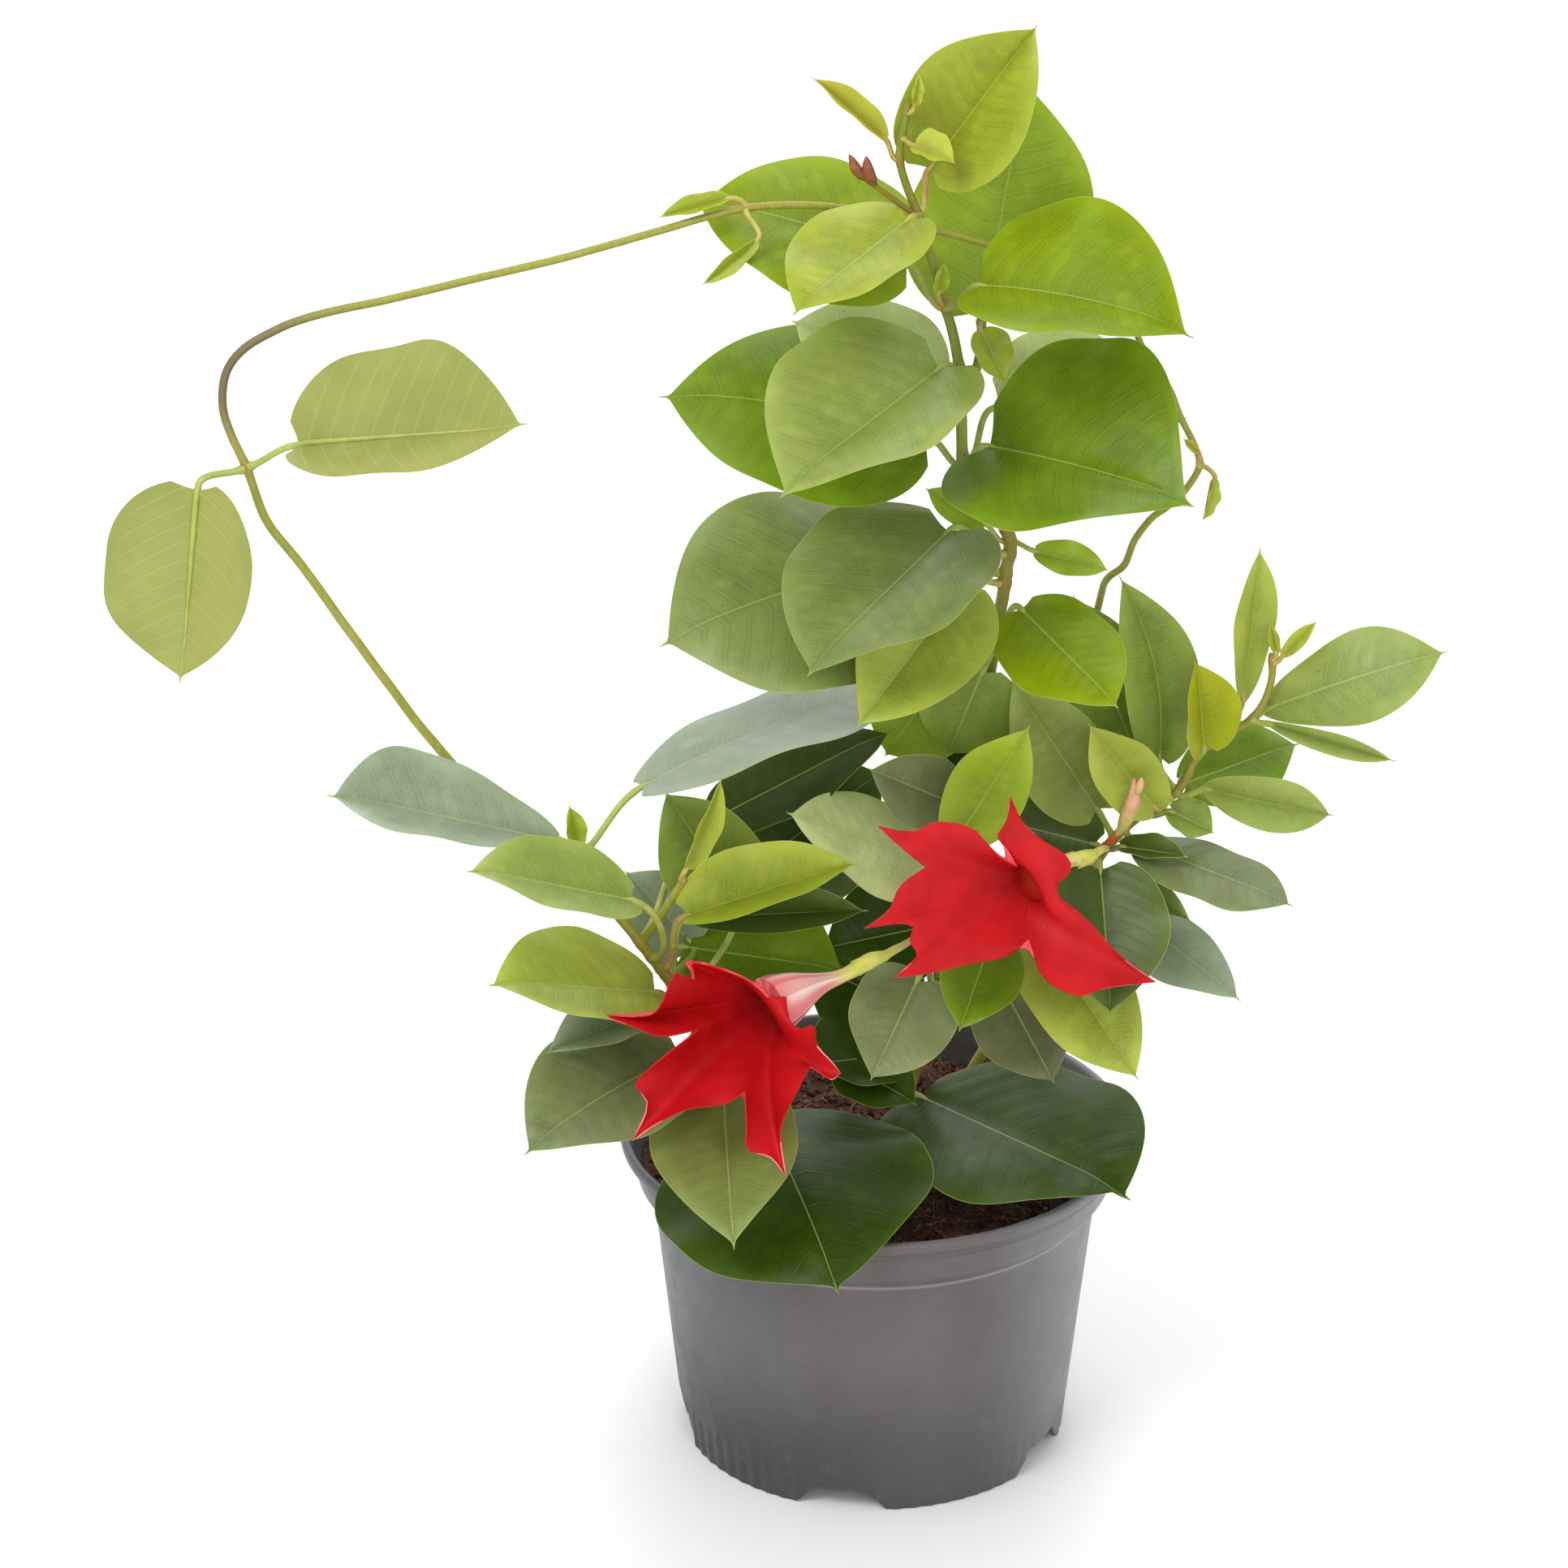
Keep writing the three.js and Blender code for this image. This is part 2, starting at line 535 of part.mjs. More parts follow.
// ---- leaves ----
const LEAVES = {
  leaf_crown_top: leafFrom(
    mainStem, [10, 3, 378], [13, 9, 389], [42, 7, 431], 43, [-0.3, -1, 0.1], 36, MIDDLE,
  ),
  leaf_crown_back: leafFrom(
    crownBranch, [28, 12, 343], [29, 34, 338], [40, 27, 410], 54, [0, -1, -0.1], 15, BROAD,
  ),
  leaf_crown_left: leafFrom(
    mainStem, [10, 3, 378], [8, -6, 380], [-24, -36, 363.5], 40, [-0.2, -0.3, 0.9], 15, MIDDLE,
  ),
  leaf_crown_right: leafFrom(
    mainStem, [18, 5, 351], [27, -3, 359.5], [85, -28, 355.5], 59, [-0.1, -0.4, 0.9], 26, SHARP,
    { arch: 3.5 },
  ),
  leaf_crown_far_left: leafFrom(
    mainStem, [18, 5, 351], [8, 8, 361.5], [-52, 17, 377], 52, [0.1, -0.5, 0.9], 5, BROAD, { arch: 4 },
  ),
  leaf_upper_right: leafFrom(
    mainStem, [24, 6, 305], [30, -10, 315], [85, -48, 314], 79, [-0.3, -0.4, 0.9], 24, SHARP,
    { lobe: 4, arch: 2 },
  ),
  leaf_upper_left: leafFrom(
    mainStem, [22, 5, 333], [17, -8, 337.5], [-27, -52, 317.5], 63, [-0.1, -0.4, 0.9], 25, MIDDLE,
    { lobe: 4 },
  ),
  leaf_upper_far_left: leafFrom(
    mainStem, [24, 6, 303], [14, 10, 310], [-62, 12, 322], 58, [0.1, -0.6, 0.8], 0, BROAD, { arch: 5 },
  ),
  leaf_upper_back: leafFrom(
    mainStem, [24, 6, 303], [33, 18, 316], [82, 30, 309], 50, [0.1, -0.7, 0.7], 15, BROAD,
  ),
  leaf_upper_far_right: leafFrom(
    mainStem, [36, 6, 284], [45, 36, 292], [87, 30, 309], 26, [-0.1, -0.9, 0.4], 25, BROAD,
  ),
  leaf_middle_far_left: leafFrom(
    mainStem, [36, 7, 270], [5, 9, 272.5], [-61, -22, 260.5], 70, [0.1, -0.5, 0.8], 0, MIDDLE,
    { arch: 4 },
  ),
  leaf_middle_left: leafFrom(
    mainStem, [36.5, 6.5, 276], [20, -5, 288], [-20, -50, 264], 64, [-0.2, -0.3, 0.9], 15, BROAD,
    { lobe: 4 },
  ),
  leaf_middle_hanging: leafFrom(
    mainStem, [36, 7, 268], [24.5, -1, 270], [-5.5, -40, 243], 38, [0.2, -0.8, 0.6], 25, BROAD,
  ),
  leaf_middle_right: leafFrom(
    mainStem, [34, 8, 254], [40, -4, 264], [67, -36, 248], 34, [0.1, -0.6, 0.8], 0, BROAD,
  ),
  leaf_middle_right_back: leafFrom(
    rightStem, [80, 5, 199], [76, 18, 206], [56, 26, 256], 30, [0.1, -1, 0.2], 20, BROAD,
  ),
  leaf_tall_right: leafFrom(
    rightStem, [86, 4, 204], [81, 9, 212], [68, 1, 272], 26, [0.3, -1, -0.1], 30, LONG,
    { arch: 2, sweep: -4 },
  ),
  leaf_middle_inner: leafFrom(
    mainStem, [33, 9, 245], [30, 3, 242], [20, 5, 214], 30, [0, -0.9, 0.3], 5, BROAD,
  ),
  leaf_slim_inner: leafFrom(
    rightStem, [69, 6, 189], [64, 13, 194], [38, -2, 241], 30, [0.2, -1, 0], 25, MIDDLE,
  ),
  leaf_orange_tinted: leafFrom(
    rightStem, [84, 4, 202], [80, -1, 201], [60, -8, 230], 22, [0.2, -1, 0], 30, LONG,
  ),
  leaf_centre_young: leafFrom(
    mainStem, [27, 12, 190], [23, -10, 195], [43, -14, 232], 25, [-0.2, -1, 0.1], 25, LONG,
  ),
  leaf_centre_left: leafFrom(
    mainStem, [25, 12, 180], [20, -4, 182], [-25, -22, 209], 34, [0.6, -0.4, 0.7], 0, BROAD,
  ),
  leaf_inner_high: leafFrom(
    mainStem, [31, 10, 230], [19, 20, 233], [2, 18, 208], 33, [-0.1, -0.9, 0.3], 5, BROAD,
  ),
  leaf_inner_low: leafFrom(
    mainStem, [27, 12, 200], [20, -1, 203], [-2, -11, 217], 24, [0.4, -0.9, 0.2], 25, BROAD,
  ),
  leaf_left_long: leafFrom(
    leftStem, [-83, -37, 201], [-67, -23, 216], [16, 0, 239.5], 50, [-0.3, 0, 1], 5, LATE, { arch: 4 },
  ),
  leaf_left_under: leafFrom(
    leftStem, [-66, -40, 176], [-47, 2, 195], [4, 14, 219], 36, [-0.4, -0.25, 0.9], 5, BROAD,
  ),
  leaf_left_upright: leafFrom(
    leftStem, [-55, -34, 155], [-41, -16, 180], [-60, -19, 213], 32, [0.3, -0.9, 0], 25, BROAD,
  ),
  leaf_left_far: leafFrom(
    leftStem, [-88, -35, 204], [-90, -44, 209], [-152, -56, 229], 38, [0.4, -0.3, 0.9], 25, TONGUE,
  ),
  leaf_left_second: leafFrom(
    leftStem, [-64, -39, 171], [-68, -60, 198.3], [-112, -80, 217.3], 32, [0.5, -0.2, 0.9], 20, MIDDLE,
  ),
  leaf_left_inner: leafFrom(
    leftStem, [-61, -38, 167], [-54, -40, 184], [-5, -32, 198], 30, [-0.1, -0.6, 0.8], 45, BROAD,
    { gap: 0.8 },
  ),
  leaf_left_third: leafFrom(
    leftStem, [-56, -35, 157], [-62, -42, 161], [-107, -72, 179], 44, [0.4, -0.1, 0.9], 15, BROAD,
  ),
  leaf_left_low: leafFrom(
    leftStem, [-46, -26, 137], [-55, -38, 139], [-98, -80, 130], 47, [0.1, -0.3, 1], 15, MIDDLE,
    { arch: 3 },
  ),
  leaf_runner_right: leafFrom(
    leftStem, [-174, -30, 315], [-160, -31, 322], [-95, -45, 333], 50, [-0.3, -0.6, 0.8], 33, LATE,
  ),
  leaf_runner_left: leafFrom(
    leftStem, [-174, -30, 315], [-187, -35, 311], [-192, -50, 259], 48, [-0.2, -0.9, 0.3], 28, MIDDLE,
  ),
  leaf_rim_large: leafFrom(
    leftStem, [-32, -9, 107], [-33, -20, 111], [-10, -96, 96], 80, [-0.12, -0.3, 1], -8, MIDDLE,
    { arch: 5 },
  ),
  leaf_rim_right: leafFrom(
    mainStem, [11, 12, 105], [13, 0, 107], [73, -57, 106], 72, [-0.1, -0.1, 1], 8, LATE,
  ),
  leaf_rim_front: leafFrom(
    leftStem, [-48, -28, 141], [-43, -50, 134], [-39, -98, 110], 44, [-0.1, -0.4, 0.9], 20, SHARP,
    { arch: 2 },
  ),
  leaf_low_right: leafFrom(
    rightStem, [71, 5, 191], [76, 0, 189], [119, -22, 181], 28, [0.1, -0.2, 1], 0, LATE,
  ),
  leaf_low_far_right: leafFrom(
    rightStem, [59, 16, 166], [67, 0, 172], [105, -25, 152], 26, [0.2, -0.4, 0.9], 0, BROAD,
  ),
  leaf_low_grey: leafFrom(
    rightStem, [64, 10, 178], [64, -12, 187], [67, -42, 155], 38, [0.2, -0.7, 0.7], 25, BROAD,
  ),
  leaf_low_young: leafFrom(
    rightStem, [57, 19, 160], [47, -15.5, 168], [75, -45, 136], 33, [-0.1, -0.8, 0.6], 25, BROAD,
  ),
  leaf_low_dark: leafFrom(
    rightStem, [48, 26, 140], [36, -2, 146], [52, -20, 122], 30, [-0.1, -0.8, 0.6], 20, BROAD,
  ),
  leaf_low_centre: leafFrom(
    mainStem, [24, 13, 165], [33, -18, 167], [24, -44, 151], 26, [0.2, -0.6, 0.8], 20, BROAD,
  ),
  leaf_low_left: leafFrom(
    mainStem, [18, 13, 138], [12, -22, 156], [-1, -46, 136], 33, [0.2, -0.7, 0.6], 20, BROAD,
  ),
  leaf_right_top: leafFrom(
    rightStem, [107, 2, 228], [111, 4, 230], [161, -4, 252], 27, [-0.4, -0.8, 0.5], 0, SLIM, { arch: 3 },
  ),
  leaf_right_upright: leafFrom(
    rightStem, [103, 3, 225], [104.5, 9, 231], [108, 6, 279], 14, [0.3, -0.9, 0], 25, SLIM,
  ),
  leaf_right_curled: leafFrom(
    rightStem, [92, 3, 216], [93, -3, 221], [90, -6, 249], 24, [0.6, -0.8, -0.1], 35, BROAD,
  ),
  leaf_right_narrow: leafFrom(
    rightStem, [107, 2, 228], [112, -2, 228], [147, -14, 222], 10, [-0.3, -0.9, 0.4], 50, SLIM,
    { arch: 5 },
  ),
  leaf_right_back: leafFrom(
    rightStem, [90, 4, 210], [89, 14, 202], [122, 20, 213], 28, [-0.2, -0.5, 0.8], 5, LONG,
  ),
  leaf_right_low: leafFrom(
    rightStem, [86, 4, 204], [95, -3, 208], [130, -14, 205], 20, [-0.3, -0.9, 0.4], 40, SLIM, { arch: 6 },
  ),
};

// ---- flowers ----
// A corolla: a slim tube that widens into a throat, and five pointed lobes around its mouth.
function corollaBody(flower) {
  const columns = 8 * flower.tips.length;
  const centre = vec(flower.mouth);
  const foot = vec(flower.foot);
  const axis = centre.clone().sub(foot).normalize();
  const tips = flower.tips.map(vec);
  const across = tips[0].clone().sub(centre);
  const first = across.addScaledVector(axis, -across.dot(axis)).normalize();
  const second = axis.clone().cross(first);
  const angleOf = (p) => {
    const out = p.clone().sub(centre);
    return (Math.atan2(out.dot(second), out.dot(first)) + 2 * Math.PI) % (2 * Math.PI);
  };
  const angles = tips.map(angleOf);
  const around = (angle, radius) =>
    first.clone().multiplyScalar(radius * Math.cos(angle)).addScaledVector(second, radius * Math.sin(angle));
  const rows = [];
  for (const [share, radius] of [[0, 2.2], [0.25, 2.5], [0.5, 4.5], [0.8, 8], [1, flower.throat]]) {
    const row = [];
    for (let j = 0; j < columns; j += 1) {
      const ring = foot.clone().lerp(centre, share);
      row.push(ring.add(around(columnAngle(angles, j, columns), radius)));
    }
    rows.push(row);
  }
  const mouthRow = rows[rows.length - 1];
  for (const q of [0.35, 0.7, 1]) {
    const row = [];
    for (let j = 0; j < columns; j += 1) {
      const edge = lobeEdge(flower, centre, tips, angles, around, j);
      const point = mouthRow[j].clone().lerp(edge, q);
      row.push(point.addScaledVector(axis, flower.cup * 4 * q * (1 - q)));
    }
    rows.push(row);
  }
  return shellBody(rows, COROLLA_THICKNESS);
}

// Column angles run evenly from one lobe's tip to the next.
function columnAngle(angles, j, columns) {
  const lobe = Math.floor(j / 8);
  const from = angles[lobe];
  const to = lobe + 1 < angles.length ? angles[lobe + 1] : 2 * Math.PI + angles[0];
  return from + ((to - from) * (j - 8 * lobe)) / 8;
}

// The lobe's edge: out of a tip, round its shoulder, down to the notch and out to the next tip.
function lobeEdge(flower, centre, tips, angles, around, j) {
  const lobe = Math.floor(j / 8);
  const next = (lobe + 1) % tips.length;
  const t = (j - 8 * lobe) / 8;
  const middle = columnAngle(angles, 8 * lobe + 4, 8 * tips.length);
  const lift = tips[lobe].clone().add(tips[next]).multiplyScalar(0.5).sub(centre);
  const plane = around(middle, 1);
  const notch = around(middle, flower.notch);
  notch.add(centre).add(lift.addScaledVector(plane, -lift.dot(plane)).multiplyScalar(0.4));
  const tip = t <= 0.5 ? tips[lobe] : tips[next];
  const shoulder = notch.clone().addScaledVector(tip.clone().sub(centre), flower.shoulder);
  const w = t <= 0.5 ? 2 * t : 2 - 2 * t;
  return new THREE.QuadraticBezierCurve3(tip, shoulder, notch).getPoint(w);
}

// A thin closed shell on a sheet of rows that close around: outer face, edge, inner face.
function shellBody(rows, thickness) {
  const count = rows[0].length;
  const last = rows.length - 1;
  const normalAt = (i, j) => {
    const along = rows[Math.min(i + 1, last)][j].clone().sub(rows[Math.max(i - 1, 0)][j]);
    const round = rows[i][(j + 1) % count].clone().sub(rows[i][(j + count - 1) % count]);
    return round.cross(along).normalize();
  };
  const offset = (i, amount) => rows[i].map((p, j) => p.clone().addScaledVector(normalAt(i, j), amount));
  const outer = rows.slice(0, last).map((row, i) => offset(i, thickness / 2));
  const inner = rows.slice(1, last).map((row, i) => offset(i + 1, -thickness / 2)).reverse();
  return ringBody([...outer, rows[last], ...inner]);
}

const FLOWERS = {
  corolla_right: {
    mouth: [37, -42, 196],
    foot: [55, -25, 196],
    throat: 10,
    notch: 20,
    shoulder: 0.42,
    cup: 2,
    tips: [[38, -38, 220], [-1, -46, 219], [-5, -48, 190], [4, -56, 174], [79, -57, 172]],
  },
  corolla_left: {
    mouth: [-38, -74, 164],
    foot: [-16, -46, 167],
    throat: 10,
    notch: 20,
    shoulder: 0.42,
    cup: 2,
    tips: [[-45, -84, 190], [-76, -90, 181], [-66, -98, 148], [-24, -98, 134], [-12, -84, 157]],
  },
};

// Calyces and buds, each on its stalk. A calyx closes just short of its corolla's foot.
const BUDS = {
  calyx_right: {
    path: [[65.2, 3.4, 187.5], [65, -7, 191], [62.5, -16, 195], [59.4, -20.9, 196], [55.3, -24.7, 196]],
    radii: [1, 1.1, 1.2, 1.6, 3.2, 3.4, 2.6],
    colour: 0xc8c060,
  },
  calyx_left: {
    path: [[19, 9.5, 160], [8, -20, 166], [-5, -34, 168], [-12.3, -41.3, 167.5], [-15.8, -45.7, 167]],
    radii: [1, 1.1, 1.1, 1.2, 1.6, 3.4, 3.4, 2.6],
    colour: 0xc8c060,
  },
  bud_top: {
    path: [[8.6, 1.4, 379], [3, -4, 385], [-4, -8, 392], [-9, -9, 399]],
    radii: [0.7, 0.8, 0.8, 0.9, 2.2, 2, 0.5],
    colour: 0x9a5038,
  },
  bud_right: {
    path: [[73, 2.8, 194], [74.5, -7, 196], [76, -13, 201.5], [75, -15, 211]],
    radii: [0.9, 1, 1.1, 2.8, 3.2, 2.2, 0.5],
    colour: 0xc9a070,
  },
};

function calyxBody(path, radii) {
  const curve = new THREE.CatmullRomCurve3(path.map(vec), false, "centripetal");
  const steps = radii.length - 1;
  const tangents = radii.map((r, i) => curve.getTangentAt(i / steps));
  const normals = carriedNormals(tangents, vec([0, 0.2, 1]));
  const rings = radii.map((r, i) => circleRing(curve.getPointAt(i / steps), tangents[i], normals[i], r, 10));
  return ringBody(rings);
}

add("pot", potBody(), 0x6e6c6e, 0.55);
add("soil", soilBody(), 0x3c2a1e, 0.95);
const mainLeaves = [...tipLeaves, ...mainInner].map(leafBody);
const leftLeaves = [...leftTips, ...leftInner, ...leftShootLeaves].map(leafBody);
const rightLeaves = [...rightTips, ...rightInner].map(leafBody);
add("stem_main", fuse([stemBody(mainStem, 44), stemBody(crownBranch, 4), ...mainLeaves]), 0x8a8430, 0.6);
add("stem_left", fuse([stemBody(leftStem, 70), stemBody(leftShoot, 4), ...leftLeaves]), 0x9a9a45, 0.6);
add("stem_right", fuse([stemBody(rightStem, 28), stemBody(rightRunner, 34), ...rightLeaves]), 0x8f8a3c, 0.6);
for (const [name, leaf] of Object.entries(LEAVES)) {
  add(name, leafBody(leaf), 0x76983a, 0.35);
}
for (const [name, flower] of Object.entries(FLOWERS)) {
  add(name, corollaBody(flower), 0xd32b30, 0.5);
}
for (const [name, bud] of Object.entries(BUDS)) {
  add(name, calyxBody(bud.path, bud.radii), bud.colour, 0.5);
}

export default part;
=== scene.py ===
# A young flowering mandevilla in its nursery pot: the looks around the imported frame.
# Sizes are in millimetres in the frame's axes and are written to the meshes in metres.
import math

import bpy
import numpy as np
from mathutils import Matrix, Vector


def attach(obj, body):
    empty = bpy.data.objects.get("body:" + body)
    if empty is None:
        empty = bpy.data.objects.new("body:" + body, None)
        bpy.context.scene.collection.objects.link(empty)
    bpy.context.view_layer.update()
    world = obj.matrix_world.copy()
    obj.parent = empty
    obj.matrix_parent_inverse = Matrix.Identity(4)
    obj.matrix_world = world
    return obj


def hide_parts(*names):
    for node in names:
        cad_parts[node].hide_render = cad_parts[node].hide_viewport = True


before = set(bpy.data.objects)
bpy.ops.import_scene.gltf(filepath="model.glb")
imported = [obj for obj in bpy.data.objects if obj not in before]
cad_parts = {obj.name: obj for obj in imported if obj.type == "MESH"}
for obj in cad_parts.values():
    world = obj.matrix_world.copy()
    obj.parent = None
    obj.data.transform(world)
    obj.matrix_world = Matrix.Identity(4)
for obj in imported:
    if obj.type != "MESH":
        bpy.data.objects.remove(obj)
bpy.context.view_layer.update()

MM = 0.001
BODY = "root"
rng = np.random.default_rng(7)


def srgb(red, green, blue):
    """A display colour, 0 to 255 a channel, as the linear colour a shader takes."""
    channels = np.array([red, green, blue]) / 255
    linear = np.where(channels <= 0.04045, channels / 12.92, ((channels + 0.055) / 1.055) ** 2.4)
    return (*linear.tolist(), 1.0)


def unit(vectors):
    vectors = np.asarray(vectors, float)
    return vectors / np.maximum(np.linalg.norm(vectors, axis=-1, keepdims=True), 1e-12)


def smooth(x, low=0.0, high=1.0):
    t = np.clip((x - low) / (high - low), 0, 1)
    return t * t * (3 - 2 * t)


def bell(x, middle, spread):
    return np.exp(-(((x - middle) / spread) ** 2))


def around(count):
    """Evenly spaced angles of a full turn."""
    return np.linspace(0, 2 * math.pi, count, endpoint=False)


def add_object(name, data):
    made = bpy.data.objects.new(name, data)
    bpy.context.scene.collection.objects.link(made)
    return made


# ---- camera, light and floor, in metres ----
def add_camera():
    place = (0, -1.5, 0.88)
    tilt, pan = 65.85, 1.02
    focal_length, sensor_width = 131.5, 36
    data = bpy.data.cameras.new("camera")
    data.lens = focal_length
    data.sensor_width = sensor_width
    camera = add_object("camera", data)
    camera.location = place
    camera.rotation_euler = (math.radians(tilt), 0, math.radians(pan))
    bpy.context.scene.camera = camera


def add_light(name, place, aim, size, power):
    data = bpy.data.lights.new(name, "AREA")
    data.shape = "DISK"
    data.size = size
    data.energy = power
    light = add_object(name, data)
    light.location = place
    light.rotation_euler = (Vector(aim) - Vector(place)).to_track_quat("-Z", "Y").to_euler()


def add_studio():
    world = bpy.data.worlds.new("studio")
    world.use_nodes = True
    background = world.node_tree.nodes["Background"]
    background.inputs["Color"].default_value = (1, 1, 1, 1)
    background.inputs["Strength"].default_value = 0.82
    bpy.context.scene.world = world
    bpy.context.scene.view_settings.view_transform = "Standard"
    leaves = (0, 0, 0.2)
    add_light("key", (-0.7, -0.9, 1.5), leaves, 0.9, 12)
    add_light("top", (0.2, 0.5, 1.5), leaves, 0.9, 6)
    add_light("front", (0.35, -1.9, 0.9), leaves, 1.2, 9)
    add_light("backdrop", (0, 2.8, 2.4), (0, 2.4, 0), 1.6, 16)
    add_light("sheen", (-0.5, 2.2, 1.3), (0, 0, 0.25), 1.5, 4)


def add_floor():
    reach = 6.0
    corners = [(-reach, -reach, 0), (reach, -reach, 0), (reach, reach, 0), (-reach, reach, 0)]
    data = bpy.data.meshes.new("floor")
    data.from_pydata(corners, [], [(0, 1, 2, 3)])
    paper = Paint("floor_paper")
    paper.colour = srgb(244, 244, 244)
    data.materials.append(paper.finish(0.9))
    add_object("floor", data)


# ---- materials ----
class Paint:
    """A Principled material whose colour is built up coat by coat."""

    def __init__(self, name):
        self.data = bpy.data.materials.new(name)
        self.data.use_nodes = True
        self.tree = self.data.node_tree
        self.shader = self.tree.nodes["Principled BSDF"]
        self.place = self.node("ShaderNodeTexCoord").outputs["Object"]

    def node(self, kind, **settings):
        node = self.tree.nodes.new(kind)
        for name, value in settings.items():
            setattr(node, name, value)
        return node

    def feed(self, node, **values):
        """Links or sets a node's inputs, named with _ for a space."""
        for name, value in values.items():
            socket = node.inputs[name.replace("_", " ")]
            if isinstance(value, bpy.types.NodeSocket):
                self.tree.links.new(value, socket)
            else:
                socket.default_value = value
        return node

    def math(self, operation, a, b):
        node = self.node("ShaderNodeMath", operation=operation)
        for socket, value in zip(node.inputs, (a, b)):
            if isinstance(value, bpy.types.NodeSocket):
                self.tree.links.new(value, socket)
            else:
                socket.default_value = value
        return node.outputs[0]

    def product(self, a, b):
        return self.math("MULTIPLY", a, b)

    def sum(self, a, b):
        return self.math("ADD", a, b)

    def zigzag(self, value, height):
        return self.math("PINGPONG", value, height)

    def step(self, value, low, high, start=0.0, end=1.0):
        """Smoothly from start to end as the value goes from low to high."""
        node = self.node("ShaderNodeMapRange", interpolation_type="SMOOTHSTEP")
        self.feed(node, Value=value, From_Min=low, From_Max=high, To_Min=start, To_Max=end)
        return node.outputs[0]

    def noise(self, scale, detail=3.0, rough=0.5, place=None):
        node = self.node("ShaderNodeTexNoise")
        self.feed(node, Vector=place or self.place, Scale=scale, Detail=detail, Roughness=rough)
        return node.outputs["Fac"]

    def parts(self, vector):
        return self.feed(self.node("ShaderNodeSeparateXYZ"), Vector=vector).outputs

    def marks(self, name):
        """The three values that a mesh holds for its paint."""
        return self.parts(self.node("ShaderNodeAttribute", attribute_name=name).outputs["Vector"])

    def blend(self, factor, a, b):
        a, b = (srgb(*colour) if isinstance(colour, tuple) else colour for colour in (a, b))
        node = self.node("ShaderNodeMix", data_type="RGBA")
        return self.feed(node, Factor=factor, A=a, B=b).outputs["Result"]

    def base(self, factor, low, high):
        self.colour = self.blend(factor, low, high)

    def coat(self, factor, colour):
        self.colour = self.blend(factor, self.colour, colour)

    def finish(self, rough, gloss=0.5, height=None, depth=0.0, strength=1.0):
        """Joins the colour, roughness, gloss and bump to the shader."""
        self.feed(self.shader, Base_Color=self.colour, Roughness=rough, Specular_IOR_Level=gloss)
        if height is not None:
            bump = self.feed(self.node("ShaderNodeBump"), Height=height, Distance=depth, Strength=strength)
            self.feed(self.shader, Normal=bump.outputs["Normal"])
        return self.data


VEIN_GREEN = (176, 196, 104)
MARGIN_GREEN = (178, 192, 96)


def skin_values(face, deep, under, rough, gloss):
    """A leaf's upper face, its darker mottle, its underside, and how rough and glossy it is."""
    return dict(face=face, deep=deep, under=under, rough=rough, gloss=gloss)


SKINS = {
    "young": skin_values((144, 156, 40), (128, 142, 28), (176, 188, 92), 0.36, 0.3),
    "bright": skin_values((146, 168, 42), (132, 156, 34), (170, 186, 90), 0.38, 0.25),
    "lime": skin_values((120, 140, 8), (106, 126, 2), (150, 166, 70), 0.34, 0.14),
    "fresh": skin_values((103, 130, 20), (90, 116, 12), (142, 158, 74), 0.34, 0.22),
    "soft": skin_values((136, 150, 72), (122, 138, 60), (160, 174, 92), 0.34, 0.3),
    "dull": skin_values((118, 131, 66), (106, 120, 54), (142, 154, 84), 0.32, 0.3),
    "slate": skin_values((112, 122, 78), (98, 108, 64), (140, 152, 92), 0.32, 0.3),
    "golden": skin_values((146, 152, 18), (132, 140, 10), (184, 192, 92), 0.38, 0.15),
    "mid": skin_values((126, 145, 58), (112, 130, 46), (148, 162, 84), 0.36, 0.25),
    "light": skin_values((154, 166, 64), (140, 154, 52), (166, 178, 88), 0.38, 0.25),
    # Painted sheen: a grey, pale face that stands for the leaf's glossy reflection.
    "grey_painted_sheen": skin_values((130, 144, 116), (122, 136, 108), (150, 162, 112), 0.3, 0.4),
    # Painted sheen: a pale, milky face that stands for the leaf's glossy reflection.
    "pale_painted_sheen": skin_values((182, 194, 130), (168, 182, 114), (176, 190, 120), 0.4, 0.3),
    "dusk": skin_values((102, 106, 68), (88, 92, 56), (110, 116, 72), 0.4, 0.3),
    "deep": skin_values((74, 92, 30), (62, 80, 22), (120, 136, 70), 0.34, 0.3),
    "dark": skin_values((52, 74, 12), (40, 60, 6), (96, 110, 58), 0.32, 0.12),
    "ink": skin_values((50, 66, 6), (40, 56, 2), (96, 110, 58), 0.45, 0.05),
    "pale": skin_values((112, 132, 50), (98, 118, 40), (154, 158, 86), 0.42, 0.25),
    "tip": skin_values((152, 168, 50), (170, 144, 54), (172, 178, 84), 0.4, 0.25),
}


